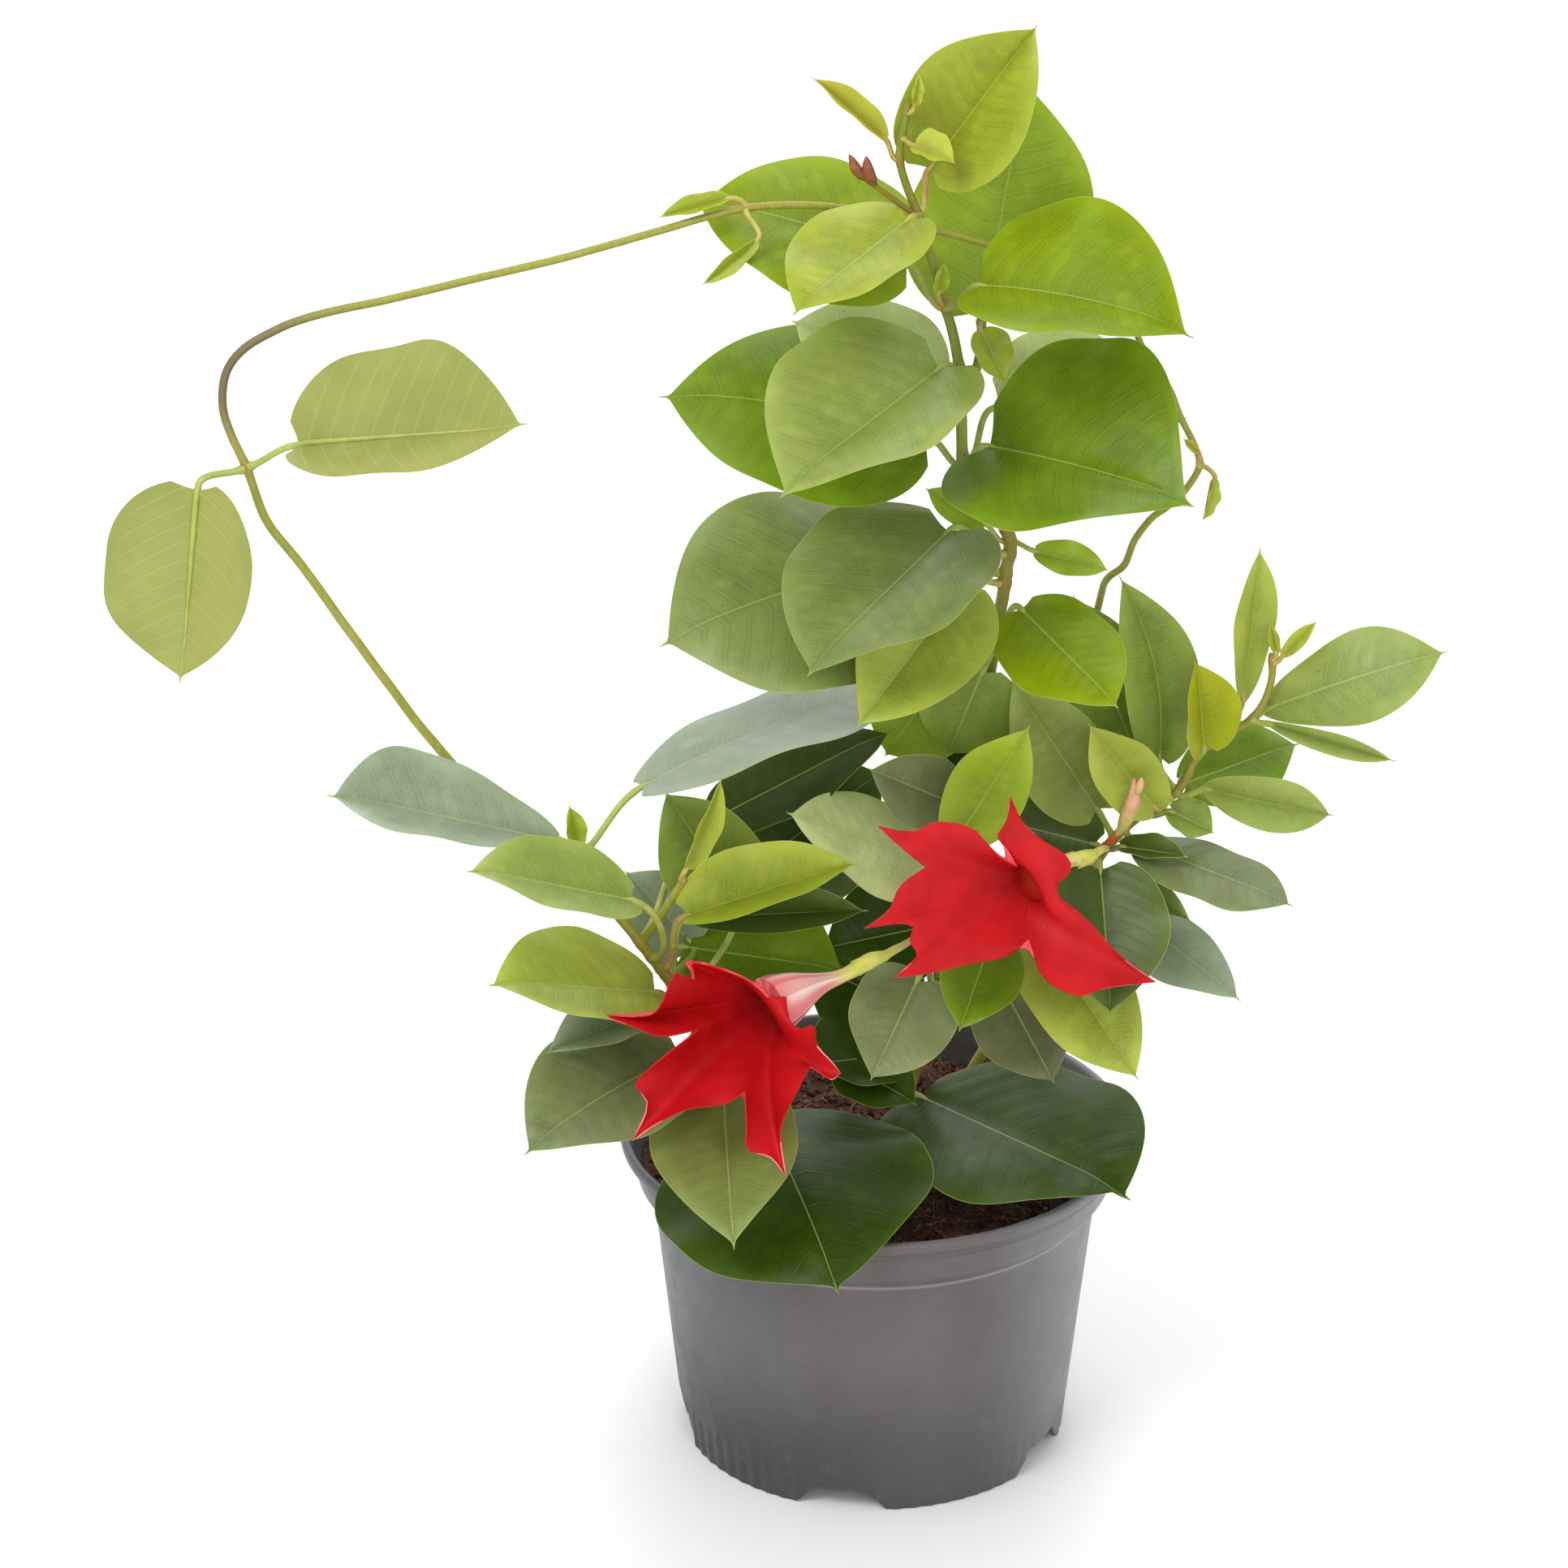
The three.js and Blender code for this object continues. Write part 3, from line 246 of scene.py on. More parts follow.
def leaf_face_paint(name, skin):
    """The upper face: mottled green, pale midrib, faint side veins and margin, waxy gloss."""
    paint = Paint("leaf_" + name)
    rib, edge, vein = paint.marks("blade")
    light = tuple(min(255, 1.13 * c + 8) for c in skin["face"])
    shade = tuple(0.8 * c for c in skin["deep"])
    paint.base(paint.step(paint.noise(24, 4, 0.6), 0.36, 0.64), skin["deep"], skin["face"])
    paint.coat(paint.step(paint.noise(95, 3, 0.6), 0.45, 0.7, 0.0, 0.35), light)
    paint.coat(paint.step(paint.noise(60, 4, 0.65), 0.25, 0.5, 0.5, 0.0), shade)
    paint.coat(paint.step(edge, 0.5, 7.0, 0.3, 0.0), light)
    paint.coat(paint.step(rib, 0.4, 5.0, 0.25, 0.0), shade)
    grain = paint.noise(1500, 2, 0.5)
    paint.coat(paint.step(grain, 0.3, 0.7, 0.0, 0.22), light)
    paint.coat(paint.step(paint.noise(720, 1, 0.4), 0.74, 0.8, 0.0, 0.3), (60, 52, 26))
    wander = paint.product(paint.math("SUBTRACT", paint.noise(160, 2), 0.5), 0.35)
    off_vein = paint.zigzag(paint.sum(vein, wander), 0.5)
    side_vein = paint.product(paint.step(off_vein, 0.01, 0.07, 1.0, 0.0), paint.step(edge, 0.6, 6.0))
    # Painted shade: a darker band beside each side vein.
    painted_vein_shade = paint.product(paint.step(off_vein, 0.08, 0.26, 1.0, 0.0), paint.step(edge, 2.0, 9.0))
    paint.coat(paint.product(painted_vein_shade, 0.22), shade)
    paint.coat(paint.product(side_vein, 0.26), light)
    paint.coat(paint.product(paint.step(rib, 0.12, 0.5, 1.0, 0.0), 0.45), VEIN_GREEN)
    paint.coat(paint.product(paint.step(edge, 0.08, 0.4, 1.0, 0.0), 0.4), MARGIN_GREEN)
    rough = paint.step(paint.noise(260, 3), 0.2, 0.8, skin["rough"] - 0.04, skin["rough"] + 0.05)
    height = paint.sum(paint.product(side_vein, -0.6), paint.product(grain, 0.3))
    return paint.finish(rough, skin["gloss"], height, 0.0001, 0.5)


def leaf_under_paint(name, skin):
    """The underside: paler and duller, its veins standing proud."""
    paint = Paint("leaf_under_" + name)
    _, edge, vein = paint.marks("blade")
    paint.base(paint.step(paint.noise(40, 4, 0.6), 0.35, 0.65, 0.0, 0.35), skin["under"], skin["face"])
    off_vein = paint.zigzag(vein, 0.5)
    line = paint.product(paint.step(off_vein, 0.02, 0.1, 1.0, 0.0), paint.step(edge, 0.5, 4.0))
    paint.coat(paint.product(line, 0.14), (196, 204, 130))
    return paint.finish(0.5, 0.25, paint.sum(line, paint.product(paint.noise(1200, 2), 0.4)), 0.00012, 0.7)


def rib_paint(name, colour, flush):
    """Petioles and the midrib under the blade."""
    paint = Paint("rib_" + name)
    paint.base(paint.step(paint.noise(220, 3), 0.35, 0.7), colour, flush)
    return paint.finish(0.42, 0.5, paint.noise(1500, 2), 0.0001, 0.5)


def stem_paint(name, green, olive, red, reddish):
    """Smooth green bark with lengthwise streaks, redder near its nodes."""
    paint = Paint(name)
    along, near_node, _ = paint.marks("stem")
    streak = paint.feed(paint.node("ShaderNodeMapping"), Vector=paint.place, Scale=(1.0, 1.0, 0.15))
    lines = paint.noise(900, 4, 0.6, streak.outputs["Vector"])
    paint.base(paint.step(lines, 0.3, 0.7), green, olive)
    paint.coat(paint.product(paint.step(paint.noise(70, 3), 0.4, 0.62), reddish), red)
    paint.coat(paint.product(near_node, 0.4), red)
    paint.coat(paint.product(along, 0.8), (96, 74, 66))
    return paint.finish(0.45, 0.5, lines, 0.00018, 0.7)


def make_leaf_paints():
    plain, flushed = ((166, 176, 84), (150, 160, 70)), ((176, 178, 84), (176, 130, 70))
    made = {}
    for name, skin in SKINS.items():
        rib = rib_paint(name, *(flushed if name in ("young", "tip", "light") else plain))
        made[name] = [leaf_face_paint(name, skin), leaf_under_paint(name, skin), rib]
    return made


# ---- meshes ----
class Shape:
    """Points and faces gathered from several pieces, made into one object."""

    def __init__(self):
        self.points = []
        self.faces = []
        self.slots = []
        self.marks = []
        self.count = 0

    def add(self, points, faces, slot=0, marks=None):
        points = np.asarray(points, float).reshape(-1, 3)
        self.points.append(points)
        self.faces += [tuple(int(i) + self.count for i in face) for face in faces]
        self.slots += [slot] * len(faces)
        self.marks.append(np.zeros((len(points), 3)) if marks is None else np.asarray(marks).reshape(-1, 3))
        self.count += len(points)

    def build(self, name, materials, slot, replaces=(), mark="blade", sharp=50):
        data = bpy.data.meshes.new(name)
        data.from_pydata((np.concatenate(self.points) * MM).tolist(), [], self.faces)
        for material in materials:
            data.materials.append(material)
        data.polygons.foreach_set("material_index", self.slots)
        data.polygons.foreach_set("use_smooth", [True] * len(self.faces))
        attribute = data.attributes.new(mark, "FLOAT_VECTOR", "POINT")
        attribute.data.foreach_set("vector", np.concatenate(self.marks).astype(np.float32).ravel())
        data.update()
        data.set_sharp_from_angle(angle=math.radians(sharp))
        piece = add_object(name, data)
        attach(piece, BODY)
        if replaces:
            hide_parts(*replaces)


def grid_faces(rows, columns, closed=False, start=0, flip=False):
    faces = []
    for i in range(rows - 1):
        for j in range(columns if closed else columns - 1):
            a = start + i * columns + j
            b = start + i * columns + (j + 1) % columns
            face = (a, b, b + columns, a + columns)
            faces.append(face[::-1] if flip else face)
    return faces


def tube_faces(rings, sides, flip=False):
    """The sides and both end caps of a closed tube."""
    first = tuple(range(sides))
    last = tuple(range((rings - 1) * sides, rings * sides))
    caps = [first, last[::-1]] if flip else [first[::-1], last]
    return grid_faces(rings, sides, closed=True, flip=flip) + caps


def border(rows, columns):
    """Indices of the outer points of a grid, in order around it."""
    ring = [(i, columns - 1) for i in range(rows)] + [(rows - 1, j) for j in range(columns - 2, -1, -1)]
    ring += [(i, 0) for i in range(rows - 2, -1, -1)] + [(0, j) for j in range(1, columns - 1)]
    return [i * columns + j for i, j in ring]


def tangents_of(points):
    return unit(np.gradient(points, axis=0))


def tube_axes(points, first):
    """At each point of a path, two directions square to it that turn as little as they can."""
    tangents = tangents_of(points)
    normals = []
    normal = np.asarray(first, float)
    for tangent in tangents:
        normal = unit(normal - normal.dot(tangent) * tangent)
        normals.append(normal)
    normals = np.array(normals)
    return np.cross(normals, tangents)[:, None], normals[:, None]


def tube(shape, points, radii, sides, first, slot=0, marks=None):
    """A closed round tube."""
    points = np.asarray(points, float)
    across, up = tube_axes(points, first)
    angles = around(sides)[None, :, None]
    radii = np.broadcast_to(radii, len(points))[:, None, None]
    rings = points[:, None] + radii * (np.cos(angles) * across + np.sin(angles) * up)
    if marks is not None:
        marks = np.repeat(marks, sides, axis=0)
    shape.add(rings, tube_faces(len(points), sides), slot, marks)


# ---- stems ----
def rounded_path(points, per_span=26):
    """A centripetal curve through the points."""
    points = np.asarray(points, float)
    points = np.vstack([2 * points[0] - points[1], points, 2 * points[-1] - points[-2]])
    t = np.linspace(0, 1, per_span, endpoint=False)[:, None]
    path = []
    for p0, p1, p2, p3 in zip(points, points[1:], points[2:], points[3:]):
        d0, d1, d2 = (math.sqrt(np.linalg.norm(b - a)) for a, b in ((p0, p1), (p1, p2), (p2, p3)))
        m1 = ((p1 - p0) / d0 - (p2 - p0) / (d0 + d1) + (p2 - p1) / d1) * d1
        m2 = ((p2 - p1) / d1 - (p3 - p1) / (d1 + d2) + (p3 - p2) / d2) * d1
        a = 2 * p1 - 2 * p2 + m1 + m2
        b = -3 * p1 + 3 * p2 - 2 * m1 - m2
        path.append(p1 + m1 * t + b * t**2 + a * t**3)
    return np.vstack([*path, points[-2]])


def lengths_along(path):
    return np.concatenate([[0], np.cumsum(np.linalg.norm(np.diff(path, axis=0), axis=1))])


def even_path(path, count):
    """The same path with its points evenly spaced."""
    lengths = lengths_along(path)
    at = np.linspace(0, lengths[-1], count)
    return np.column_stack([np.interp(at, lengths, path[:, k]) for k in range(3)])


def even_steps(points, count):
    """The rounded path through a few points, cut into equal steps."""
    return even_path(rounded_path(points, 12), count + 1)


STEM_STEP = 1.3
NODE_SWELL = 0.22
NODE_SPREAD = 1.7


class Stem:
    """A stem's middle line and radii. Petioles add the nodes that they grow from."""

    def __init__(self, points, radius_from, radius_to, taper=1.0):
        path = rounded_path(points)
        self.length = lengths_along(path)[-1]
        count = max(12, int(self.length / STEM_STEP))
        self.path = even_path(path, count)
        self.share = np.linspace(0, self.length, count) / self.length
        self.radii = radius_from + (radius_to - radius_from) * self.share**taper
        self.tangents = tangents_of(self.path)
        self.nodes = []

    def nearest(self, place):
        """Index of the point of the middle line nearest to a place."""
        return int(np.argmin(np.linalg.norm(self.path - np.asarray(place, float), axis=1)))


MAIN = Stem(
    [
        (7, 10, 86), (7, 10, 92), (12, 12, 112), (21, 13, 150), (27, 12, 195), (31, 10, 230), (34, 8, 254),
        (36, 7, 270), (37, 6, 281), (32, 6, 291), (24, 6, 303), (23, 5, 319), (22, 5, 333), (18, 5, 351),
        (14, 4, 365), (10, 3, 378), (5, 2, 394), (6, 1, 403), (7, 0, 411),
    ],
    2.0, 0.9, 3,
)
CROWN_BRANCH = Stem([(23, 5, 319), (26, 9, 327), (28, 10, 336), (28, 12, 345)], 1.5, 1.2)
LEFT = Stem(
    [
        (-25, 0, 86), (-25, 0, 92), (-36, -14, 115), (-50, -30, 145), (-60, -38, 165), (-69, -40, 179),
        (-79, -38, 192), (-83, -37, 201), (-94, -32, 206), (-109, -29, 214), (-125, -31, 234),
        (-136, -33, 251), (-149, -33, 271), (-159, -32, 286), (-169, -31, 300), (-174, -30, 315),
        (-178, -29, 324), (-180, -28, 332), (-179, -27, 341), (-174, -26, 348), (-165, -24, 353),
        (-156, -22, 356), (-134, -18, 360), (-108, -13, 365), (-86, -8, 369), (-64, -3, 374),
        (-48, 0, 378), (-37, 2, 380), (-21, 5, 380), (-6, 9, 377), (12, 12, 371), (21, 15, 368),
        (33, 16, 364),
    ],
    2.1, 1.0, 0.35,
)
LEFT_SHOOT = Stem([(-66, -40, 176), (-60, -44, 187), (-54, -47, 199)], 1.3, 1.0)
RIGHT = Stem(
    [
        (25, 26, 86), (25, 26, 92), (36, 29, 115), (50, 25, 145), (60, 15, 168), (67, 6, 186), (75, 5, 195),
        (86, 4, 204), (92, 3, 216), (100, 3, 223), (107, 2, 228), (112, 2, 240), (112, 2, 248),
    ],
    1.9, 1.0,
)
RIGHT_RUNNER = Stem(
    [
        (50, 25, 145), (56, 30, 180), (60, 33, 222), (64, 27, 256), (66, 22, 263), (70, 19, 268),
        (73, 17, 277), (77, 15, 284), (82, 12, 289), (87, 9, 296), (90, 6, 304), (88, 6, 310), (84, 8, 318),
        (81, 10, 325), (76, 12, 331), (71, 14, 341), (68, 16, 347),
    ],
    1.3, 0.9,
)


def no_sunburn(path):
    return np.zeros(len(path))


def sunburn(path):
    """Brown-purple where the left runner turns over."""
    return bell(path[:, 0], -176, 24) * smooth(path[:, 2], 316, 336)


def add_stem(shape, stem, sides, brown=no_sunburn):
    """The stem's tube, swollen at its nodes. Marks hold how brown it is and how near a node."""
    step = stem.length / (len(stem.path) - 1)
    run = np.arange(len(stem.path)) * step
    near = np.zeros(len(stem.path))
    for node in stem.nodes:
        near = np.maximum(near, bell(run, node * step, NODE_SPREAD))
    radii = stem.radii * (1 + NODE_SWELL * near)
    wobble = 0.12 * np.sin(stem.share * stem.length / 6.1) + 0.1 * np.sin(stem.share * stem.length / 2.7 + 1)
    path = stem.path + wobble[:, None] * unit(np.cross(stem.tangents, (0.3, 0.5, 0.8)))
    marks = np.column_stack([brown(stem.path), near, stem.share])
    tube(shape, path, radii, sides, (1, 0, 0) if abs(stem.tangents[0][0]) < 0.8 else (0, 1, 0), 0, marks)


def make_stems():
    bark = stem_paint("bark_main", (134, 146, 42), (122, 128, 38), (146, 90, 40), 0.14)
    runner = stem_paint("bark_runner", (152, 152, 52), (136, 138, 44), (160, 108, 56), 0.1)
    main, left, right = Shape(), Shape(), Shape()
    add_stem(main, MAIN, 18)
    add_stem(main, CROWN_BRANCH, 12)
    add_stem(left, LEFT, 16, sunburn)
    add_stem(left, LEFT_SHOOT, 12)
    add_stem(right, RIGHT, 16)
    add_stem(right, RIGHT_RUNNER, 12)
    for side, shape, paint in (("main", main, bark), ("left", left, runner), ("right", right, runner)):
        shape.build(side + "_stem", [paint], "stem", ["stem_" + side], "stem")


# ---- leaves ----
# Outline forms: where the blade is widest, how square its base is, how drawn-out its point is,
# and where the body of the blade ends and its drip tip goes on alone.
def form_values(belly, square, point, end=0.965):
    return dict(belly=belly, square=square, point=point, end=end)


BROAD = form_values(0.38, 2.3, 0.97)
MIDDLE = form_values(0.42, 2.3, 1.0)
SHARP = form_values(0.4, 2.3, 1.2)
LATE = form_values(0.52, 2.2, 0.91)
LONG = form_values(0.45, 2.0, 1.05)
SLIM = form_values(0.55, 1.5, 1.1)
TONGUE = form_values(0.66, 1.6, 0.87)
EARLY = form_values(0.4, 2.2, 0.75, 0.93)

VEINS = 11
WAVE = 0.5
CUP = -0.05
BLADE_THICK = 0.42
MARGIN_THINNER = 0.3
BIG_LEAF = 32
LEAVES = {}
SHOOT_LEAVES = {}


def leaf_values(stem, node, base, tip, width, face, fold, form, skin, **extra):
    """A leaf from its row: its stem and the node it leaves it at, where the blade starts and ends, how
    wide it is, which way it faces, how far it is folded in degrees, its outline and its skin."""
    made = dict(stem=stem, width=width, fold=math.radians(fold), form=form, skin=skin)
    made.update(arch=0, sweep=0, lobe=2, petiole=1.05, other=form)
    made.update(hook=0.035 * width, quilt=min(0.2, 0.005 * width))
    for name, place in (("node", node), ("base", base), ("tip", tip), ("face", face)):
        made[name] = np.array(place, float)
    made.update(**extra)
    return made


def leaf(name, *row, **extra):
    """A leaf that is a node of its own."""
    LEAVES[name] = leaf_values(*row, **extra)


def inner(name, *row, **extra):
    """An inner or shoot leaf, which the part holds in one piece with its stem."""
    SHOOT_LEAVES[name] = leaf_values(*row, **extra)


def bract(name, *row):
    """A tiny leaf at a shoot's tip, on a thin petiole."""
    inner(name, *row, petiole=0.8, lobe=0.5)


def half_width(form, s):
    """Half of the outline as a share of its widest, at station s from base to drawn-out tip."""
    a = np.clip((form["belly"] - s) / form["belly"], 0, 1)
    b = np.clip((s - form["belly"]) / (form["end"] - form["belly"]), 0, 1)
    near = (1 - a ** form["square"]) ** (1 / form["square"])
    body = np.where(s < form["belly"], near, (1 - b**2.4) ** form["point"])
    drip = np.where(s > form["belly"], 0.065 * np.clip((1 - s) / 0.12, 0, 1), 0)
    return np.hypot(body, drip)


def blade_frames(this, s):
    """Midrib points with their tangent, face normal and left side, one row for each station."""
    run = this["tip"] - this["base"]
    along = unit(run)
    up = unit(this["face"] - this["face"].dot(along) * along)
    left = np.cross(up, along)
    bow = this["arch"] * up + this["sweep"] * left
    s = np.asarray(s, float)[:, None]
    points = this["base"] + run * s + bow * 4 * s * (1 - s)
    points = points - up * this["hook"] * smooth(s, 0.72, 1.0) ** 2
    tangents = unit(run + bow * 4 * (1 - 2 * s))
    normals = unit(up - (tangents @ up)[:, None] * tangents)
    return points, tangents, normals, np.cross(normals, tangents)


def blade_surface(this, s, across):
    """The middle surface of the blade with its normals and its marks for the paint."""
    points, tangents, normals, sides = (v[:, None] for v in blade_frames(this, s))
    s, a = s[:, None], across[None, :]
    phase, side = this["phase"], np.sign(a)
    size = abs(a)
    half = half_width(this["form"], s) * this["width"] / 2
    half = np.where(a < 0, half_width(this["other"], s) * this["width"] / 2, half)
    half = half * (1 + 0.025 * np.sin(2 * math.pi * (1.6 * s + phase) + 2 * side))
    reach = half * size
    lean = reach / np.linalg.norm(this["tip"] - this["base"])
    vein = VEINS * (s - 0.4 * lean - 0.5 * lean**2) + np.where(a > 0, 0.35, 0) + phase
    height = reach * math.sin(this["fold"]) + half * CUP * size**2
    ripple = np.sin(2 * math.pi * (2.3 * s + phase) + 1.7 * side)
    ripple = WAVE * max(1, this["width"] / 30) * ripple * size**2
    height = height + ripple * np.sqrt(np.clip(4 * s * (1 - s), 0, 1))
    quilt = (0.5 - 0.5 * np.cos(2 * math.pi * vein)) * np.clip(4 * size * (1 - size), 0, 1)
    height = height + this["quilt"] * quilt
    back = this["lobe"] * (1 - s) ** 4 * size**1.5
    surface = points + sides * (side * reach * math.cos(this["fold"]))[..., None]
    surface = surface + normals * height[..., None] - tangents * back[..., None]
    facing = unit(np.cross(np.gradient(surface, axis=1), np.gradient(surface, axis=0)))
    facing = facing * np.sign((facing * normals).sum(-1, keepdims=True))
    rib_radius = this["petiole"] * (0.8 * (1 - s) ** 0.7 + 0.16)
    marks = np.stack(np.broadcast_arrays(reach / rib_radius, half * (1 - size), vein), axis=-1)
    return surface, facing, marks


def add_blade(shape, this, rows, columns):
    """Upper and lower face and the thin edge between them."""
    t = np.linspace(0, 1, rows)
    s = 0.012 + 0.988 * (0.45 * t + 0.55 * (1 - np.cos(math.pi * t)) / 2)
    line = np.linspace(-1, 1, columns)
    across = 0.5 * line + 0.5 * np.sin(math.pi / 2 * line)
    surface, facing, marks = blade_surface(this, s, across)
    thick = (BLADE_THICK - MARGIN_THINNER * across**2)[None, :, None]
    thick = thick * (1 - 0.5 * smooth(s, 0.85, 1))[:, None, None]
    count = rows * columns
    start = shape.count
    shape.add(surface + facing * thick / 2, grid_faces(rows, columns), 0, marks)
    shape.add(surface - facing * thick / 2, grid_faces(rows, columns, flip=True), 1, marks)
    ids = [start + k for k in border(rows, columns)]
    for a, b in zip(ids, ids[1:] + ids[:1]):
        shape.faces.append((a, a + count, b + count, b))
        shape.slots.append(0)


def petiole_path(this, steps):
    """From the stem's surface, square to it, into the midrib."""
    stem = this["stem"]
    root = stem.nearest(this["node"])
    stem.nodes.append(root)
    tangent = stem.tangents[root]
    out = this["base"] - stem.path[root]
    out = unit(out - out.dot(tangent) * tangent)
    start = stem.path[root] + out * stem.radii[root] * 0.6
    reach = np.linalg.norm(this["base"] - start) / 3
    into = blade_frames(this, np.array([0.0]))[1][0]
    corners = (start, start + out * reach, this["base"] - into * reach, this["base"])
    t = np.linspace(0, 1, steps)[:, None]
    weights = ((1 - t) ** 3, 3 * t * (1 - t) ** 2, 3 * t**2 * (1 - t), t**3)
    return sum(w * c for w, c in zip(weights, corners))


def add_stalk(shape, this, steps, rib_steps, sides):
    """The petiole and, in one tube with it, the midrib that stands proud under the blade."""
    stalk = petiole_path(this, steps)
    t = np.linspace(0, 1, steps)
    stalk_radii = this["petiole"] * (1 + 0.45 * (1 - smooth(t, 0, 0.18)) - 0.08 * np.sin(math.pi * t))
    s = np.linspace(0, 0.985, rib_steps)
    points, _, normals, _ = blade_frames(this, s)
    rib_radii = this["petiole"] * (0.8 * (1 - s) ** 0.7 + 0.14)
    sink = rib_radii * smooth(s, 0, 0.06) - 0.12
    path = np.vstack([stalk[:-1], points - normals * sink[:, None]])
    radii = np.concatenate([stalk_radii[:-1], rib_radii])
    upright = abs(tangents_of(path)[0][2]) >= 0.9
    tube(shape, path, radii, sides, (1.0, 0.2, 0.1) if upright else (0.2, -0.4, 1.0), 2)


def make_leaf(name, this, paints, replaces=()):
    shape = Shape()
    big = np.linalg.norm(this["tip"] - this["base"]) > BIG_LEAF
    rows, columns, steps, rib_steps, sides = (52, 21, 14, 24, 10) if big else (26, 13, 9, 14, 8)
    add_blade(shape, this, rows, columns)
    add_stalk(shape, this, steps, rib_steps, sides)
    shape.build(name, paints[this["skin"]], "leaf", replaces)


def make_leaves(paints):
    for index, (name, this) in enumerate(LEAVES.items()):
        this["phase"] = (index * 0.37) % 1
        make_leaf(name + "_leaf", this, paints, ["leaf_" + name])
    for index, (name, this) in enumerate(SHOOT_LEAVES.items()):
        this["phase"] = (index * 0.61) % 1
        make_leaf(name, this, paints)


leaf("crown_top", MAIN, (10, 3, 378), (13, 9, 389), (42, 7, 431), 43, (-0.3, -1, 0.1), 36, MIDDLE, "young")
leaf("crown_back", CROWN_BRANCH, (28, 12, 343), (29, 34, 338), (40, 27, 410), 54, (0, -1, -0.1), 15, BROAD,
     "bright")
leaf("crown_left", MAIN, (10, 3, 378), (8, -6, 380), (-24, -36, 363.5), 40, (-0.2, -0.3, 0.9), 15, MIDDLE,
     "young")
leaf("crown_right", MAIN, (18, 5, 351), (27, -3, 359.5), (85, -28, 355.5), 59, (-0.1, -0.4, 0.9), 26, SHARP,
     "lime", arch=3.5, hook=2.5)
leaf("crown_far_left", MAIN, (18, 5, 351), (8, 8, 361.5), (-52, 17, 377), 52, (0.1, -0.5, 0.9), 5, BROAD,
     "lime", arch=4)
leaf("upper_right", MAIN, (24, 6, 305), (30, -10, 315), (85, -48, 314), 79, (-0.3, -0.4, 0.9), 24, SHARP,
     "fresh", lobe=4, arch=2, hook=2.5)
leaf("upper_left", MAIN, (22, 5, 333), (17, -8, 337.5), (-27, -52, 317.5), 63, (-0.1, -0.4, 0.9), 25, MIDDLE,
     "soft", lobe=4)
leaf("upper_far_left", MAIN, (24, 6, 303), (14, 10, 310), (-62, 12, 322), 58, (0.1, -0.6, 0.8), 0, BROAD,
     "fresh", arch=5)
leaf("upper_back", MAIN, (24, 6, 303), (33, 18, 316), (82, 30, 309), 50, (0.1, -0.7, 0.7), 15, BROAD, "pale_painted_sheen")
leaf("upper_far_right", MAIN, (36, 6, 284), (45, 36, 292), (87, 30, 309), 26, (-0.1, -0.9, 0.4), 25, BROAD,
     "fresh")
leaf("middle_far_left", MAIN, (36, 7, 270), (5, 9, 272.5), (-61, -22, 260.5), 70, (0.1, -0.5, 0.8), 0, MIDDLE,
     "dull", arch=4)
leaf("middle_left", MAIN, (36.5, 6.5, 276), (20, -5, 288), (-20, -50, 264), 64, (-0.2, -0.3, 0.9), 15, BROAD,
     "dull", lobe=4)
leaf("middle_hanging", MAIN, (36, 7, 268), (24.5, -1, 270), (-5.5, -40, 243), 38, (0.2, -0.8, 0.6), 25, BROAD,
     "light")
leaf("middle_right", MAIN, (34, 8, 254), (40, -4, 264), (67, -36, 248), 34, (0.1, -0.6, 0.8), 0, BROAD,
     "lime")
leaf("middle_right_back", RIGHT, (80, 5, 199), (76, 18, 206), (56, 26, 256), 30, (0.1, -1, 0.2), 20, BROAD,
     "mid")
leaf("tall_right", RIGHT, (86, 4, 204), (81, 9, 212), (68, 1, 272), 26, (0.3, -1, -0.1), 30, LONG, "mid",
     arch=2, sweep=-4)
leaf("middle_inner", MAIN, (33, 9, 245), (30, 3, 242), (20, 5, 214), 30, (0, -0.9, 0.3), 5, BROAD, "mid")
leaf("slim_inner", RIGHT, (69, 6, 189), (64, 13, 194), (38, -2, 241), 30, (0.2, -1, 0), 25, MIDDLE, "soft")
leaf("orange_tinted", RIGHT, (84, 4, 202), (80, -1, 201), (60, -8, 230), 22, (0.2, -1, 0), 30, LONG, "light")
leaf("centre_young", MAIN, (27, 12, 190), (23, -10, 195), (43, -14, 232), 25, (-0.2, -1, 0.1), 25, LONG,
     "bright")
leaf("centre_left", MAIN, (25, 12, 180), (20, -4, 182), (-25, -22, 209), 34, (0.6, -0.4, 0.7), 0, BROAD,
     "pale_painted_sheen")
leaf("inner_high", MAIN, (31, 10, 230), (19, 20, 233), (2, 18, 208), 33, (-0.1, -0.9, 0.3), 5, BROAD,
     "bright")
leaf("inner_low", MAIN, (27, 12, 200), (20, -1, 203), (-2, -11, 217), 24, (0.4, -0.9, 0.2), 25, BROAD,
     "slate")
leaf("left_long", LEFT, (-83, -37, 201), (-67, -23, 216), (16, 0, 239.5), 50, (-0.3, 0, 1), 5, LATE, "grey_painted_sheen",
     arch=4)
leaf("left_under", LEFT, (-66, -40, 176), (-47, 2, 195), (4, 14, 219), 36, (-0.4, -0.25, 0.9), 5, BROAD,
     "ink")
leaf("left_upright", LEFT, (-55, -34, 155), (-41, -16, 180), (-60, -19, 213), 32, (0.3, -0.9, 0), 25, BROAD,
     "mid")
leaf("left_far", LEFT, (-88, -35, 204), (-90, -44, 209), (-152, -56, 229), 38, (0.4, -0.3, 0.9), 25, TONGUE,
     "grey_painted_sheen")
leaf("left_second", LEFT, (-64, -39, 171), (-68, -60, 198.3), (-112, -80, 217.3), 32, (0.5, -0.2, 0.9), 20,
     MIDDLE, "soft")
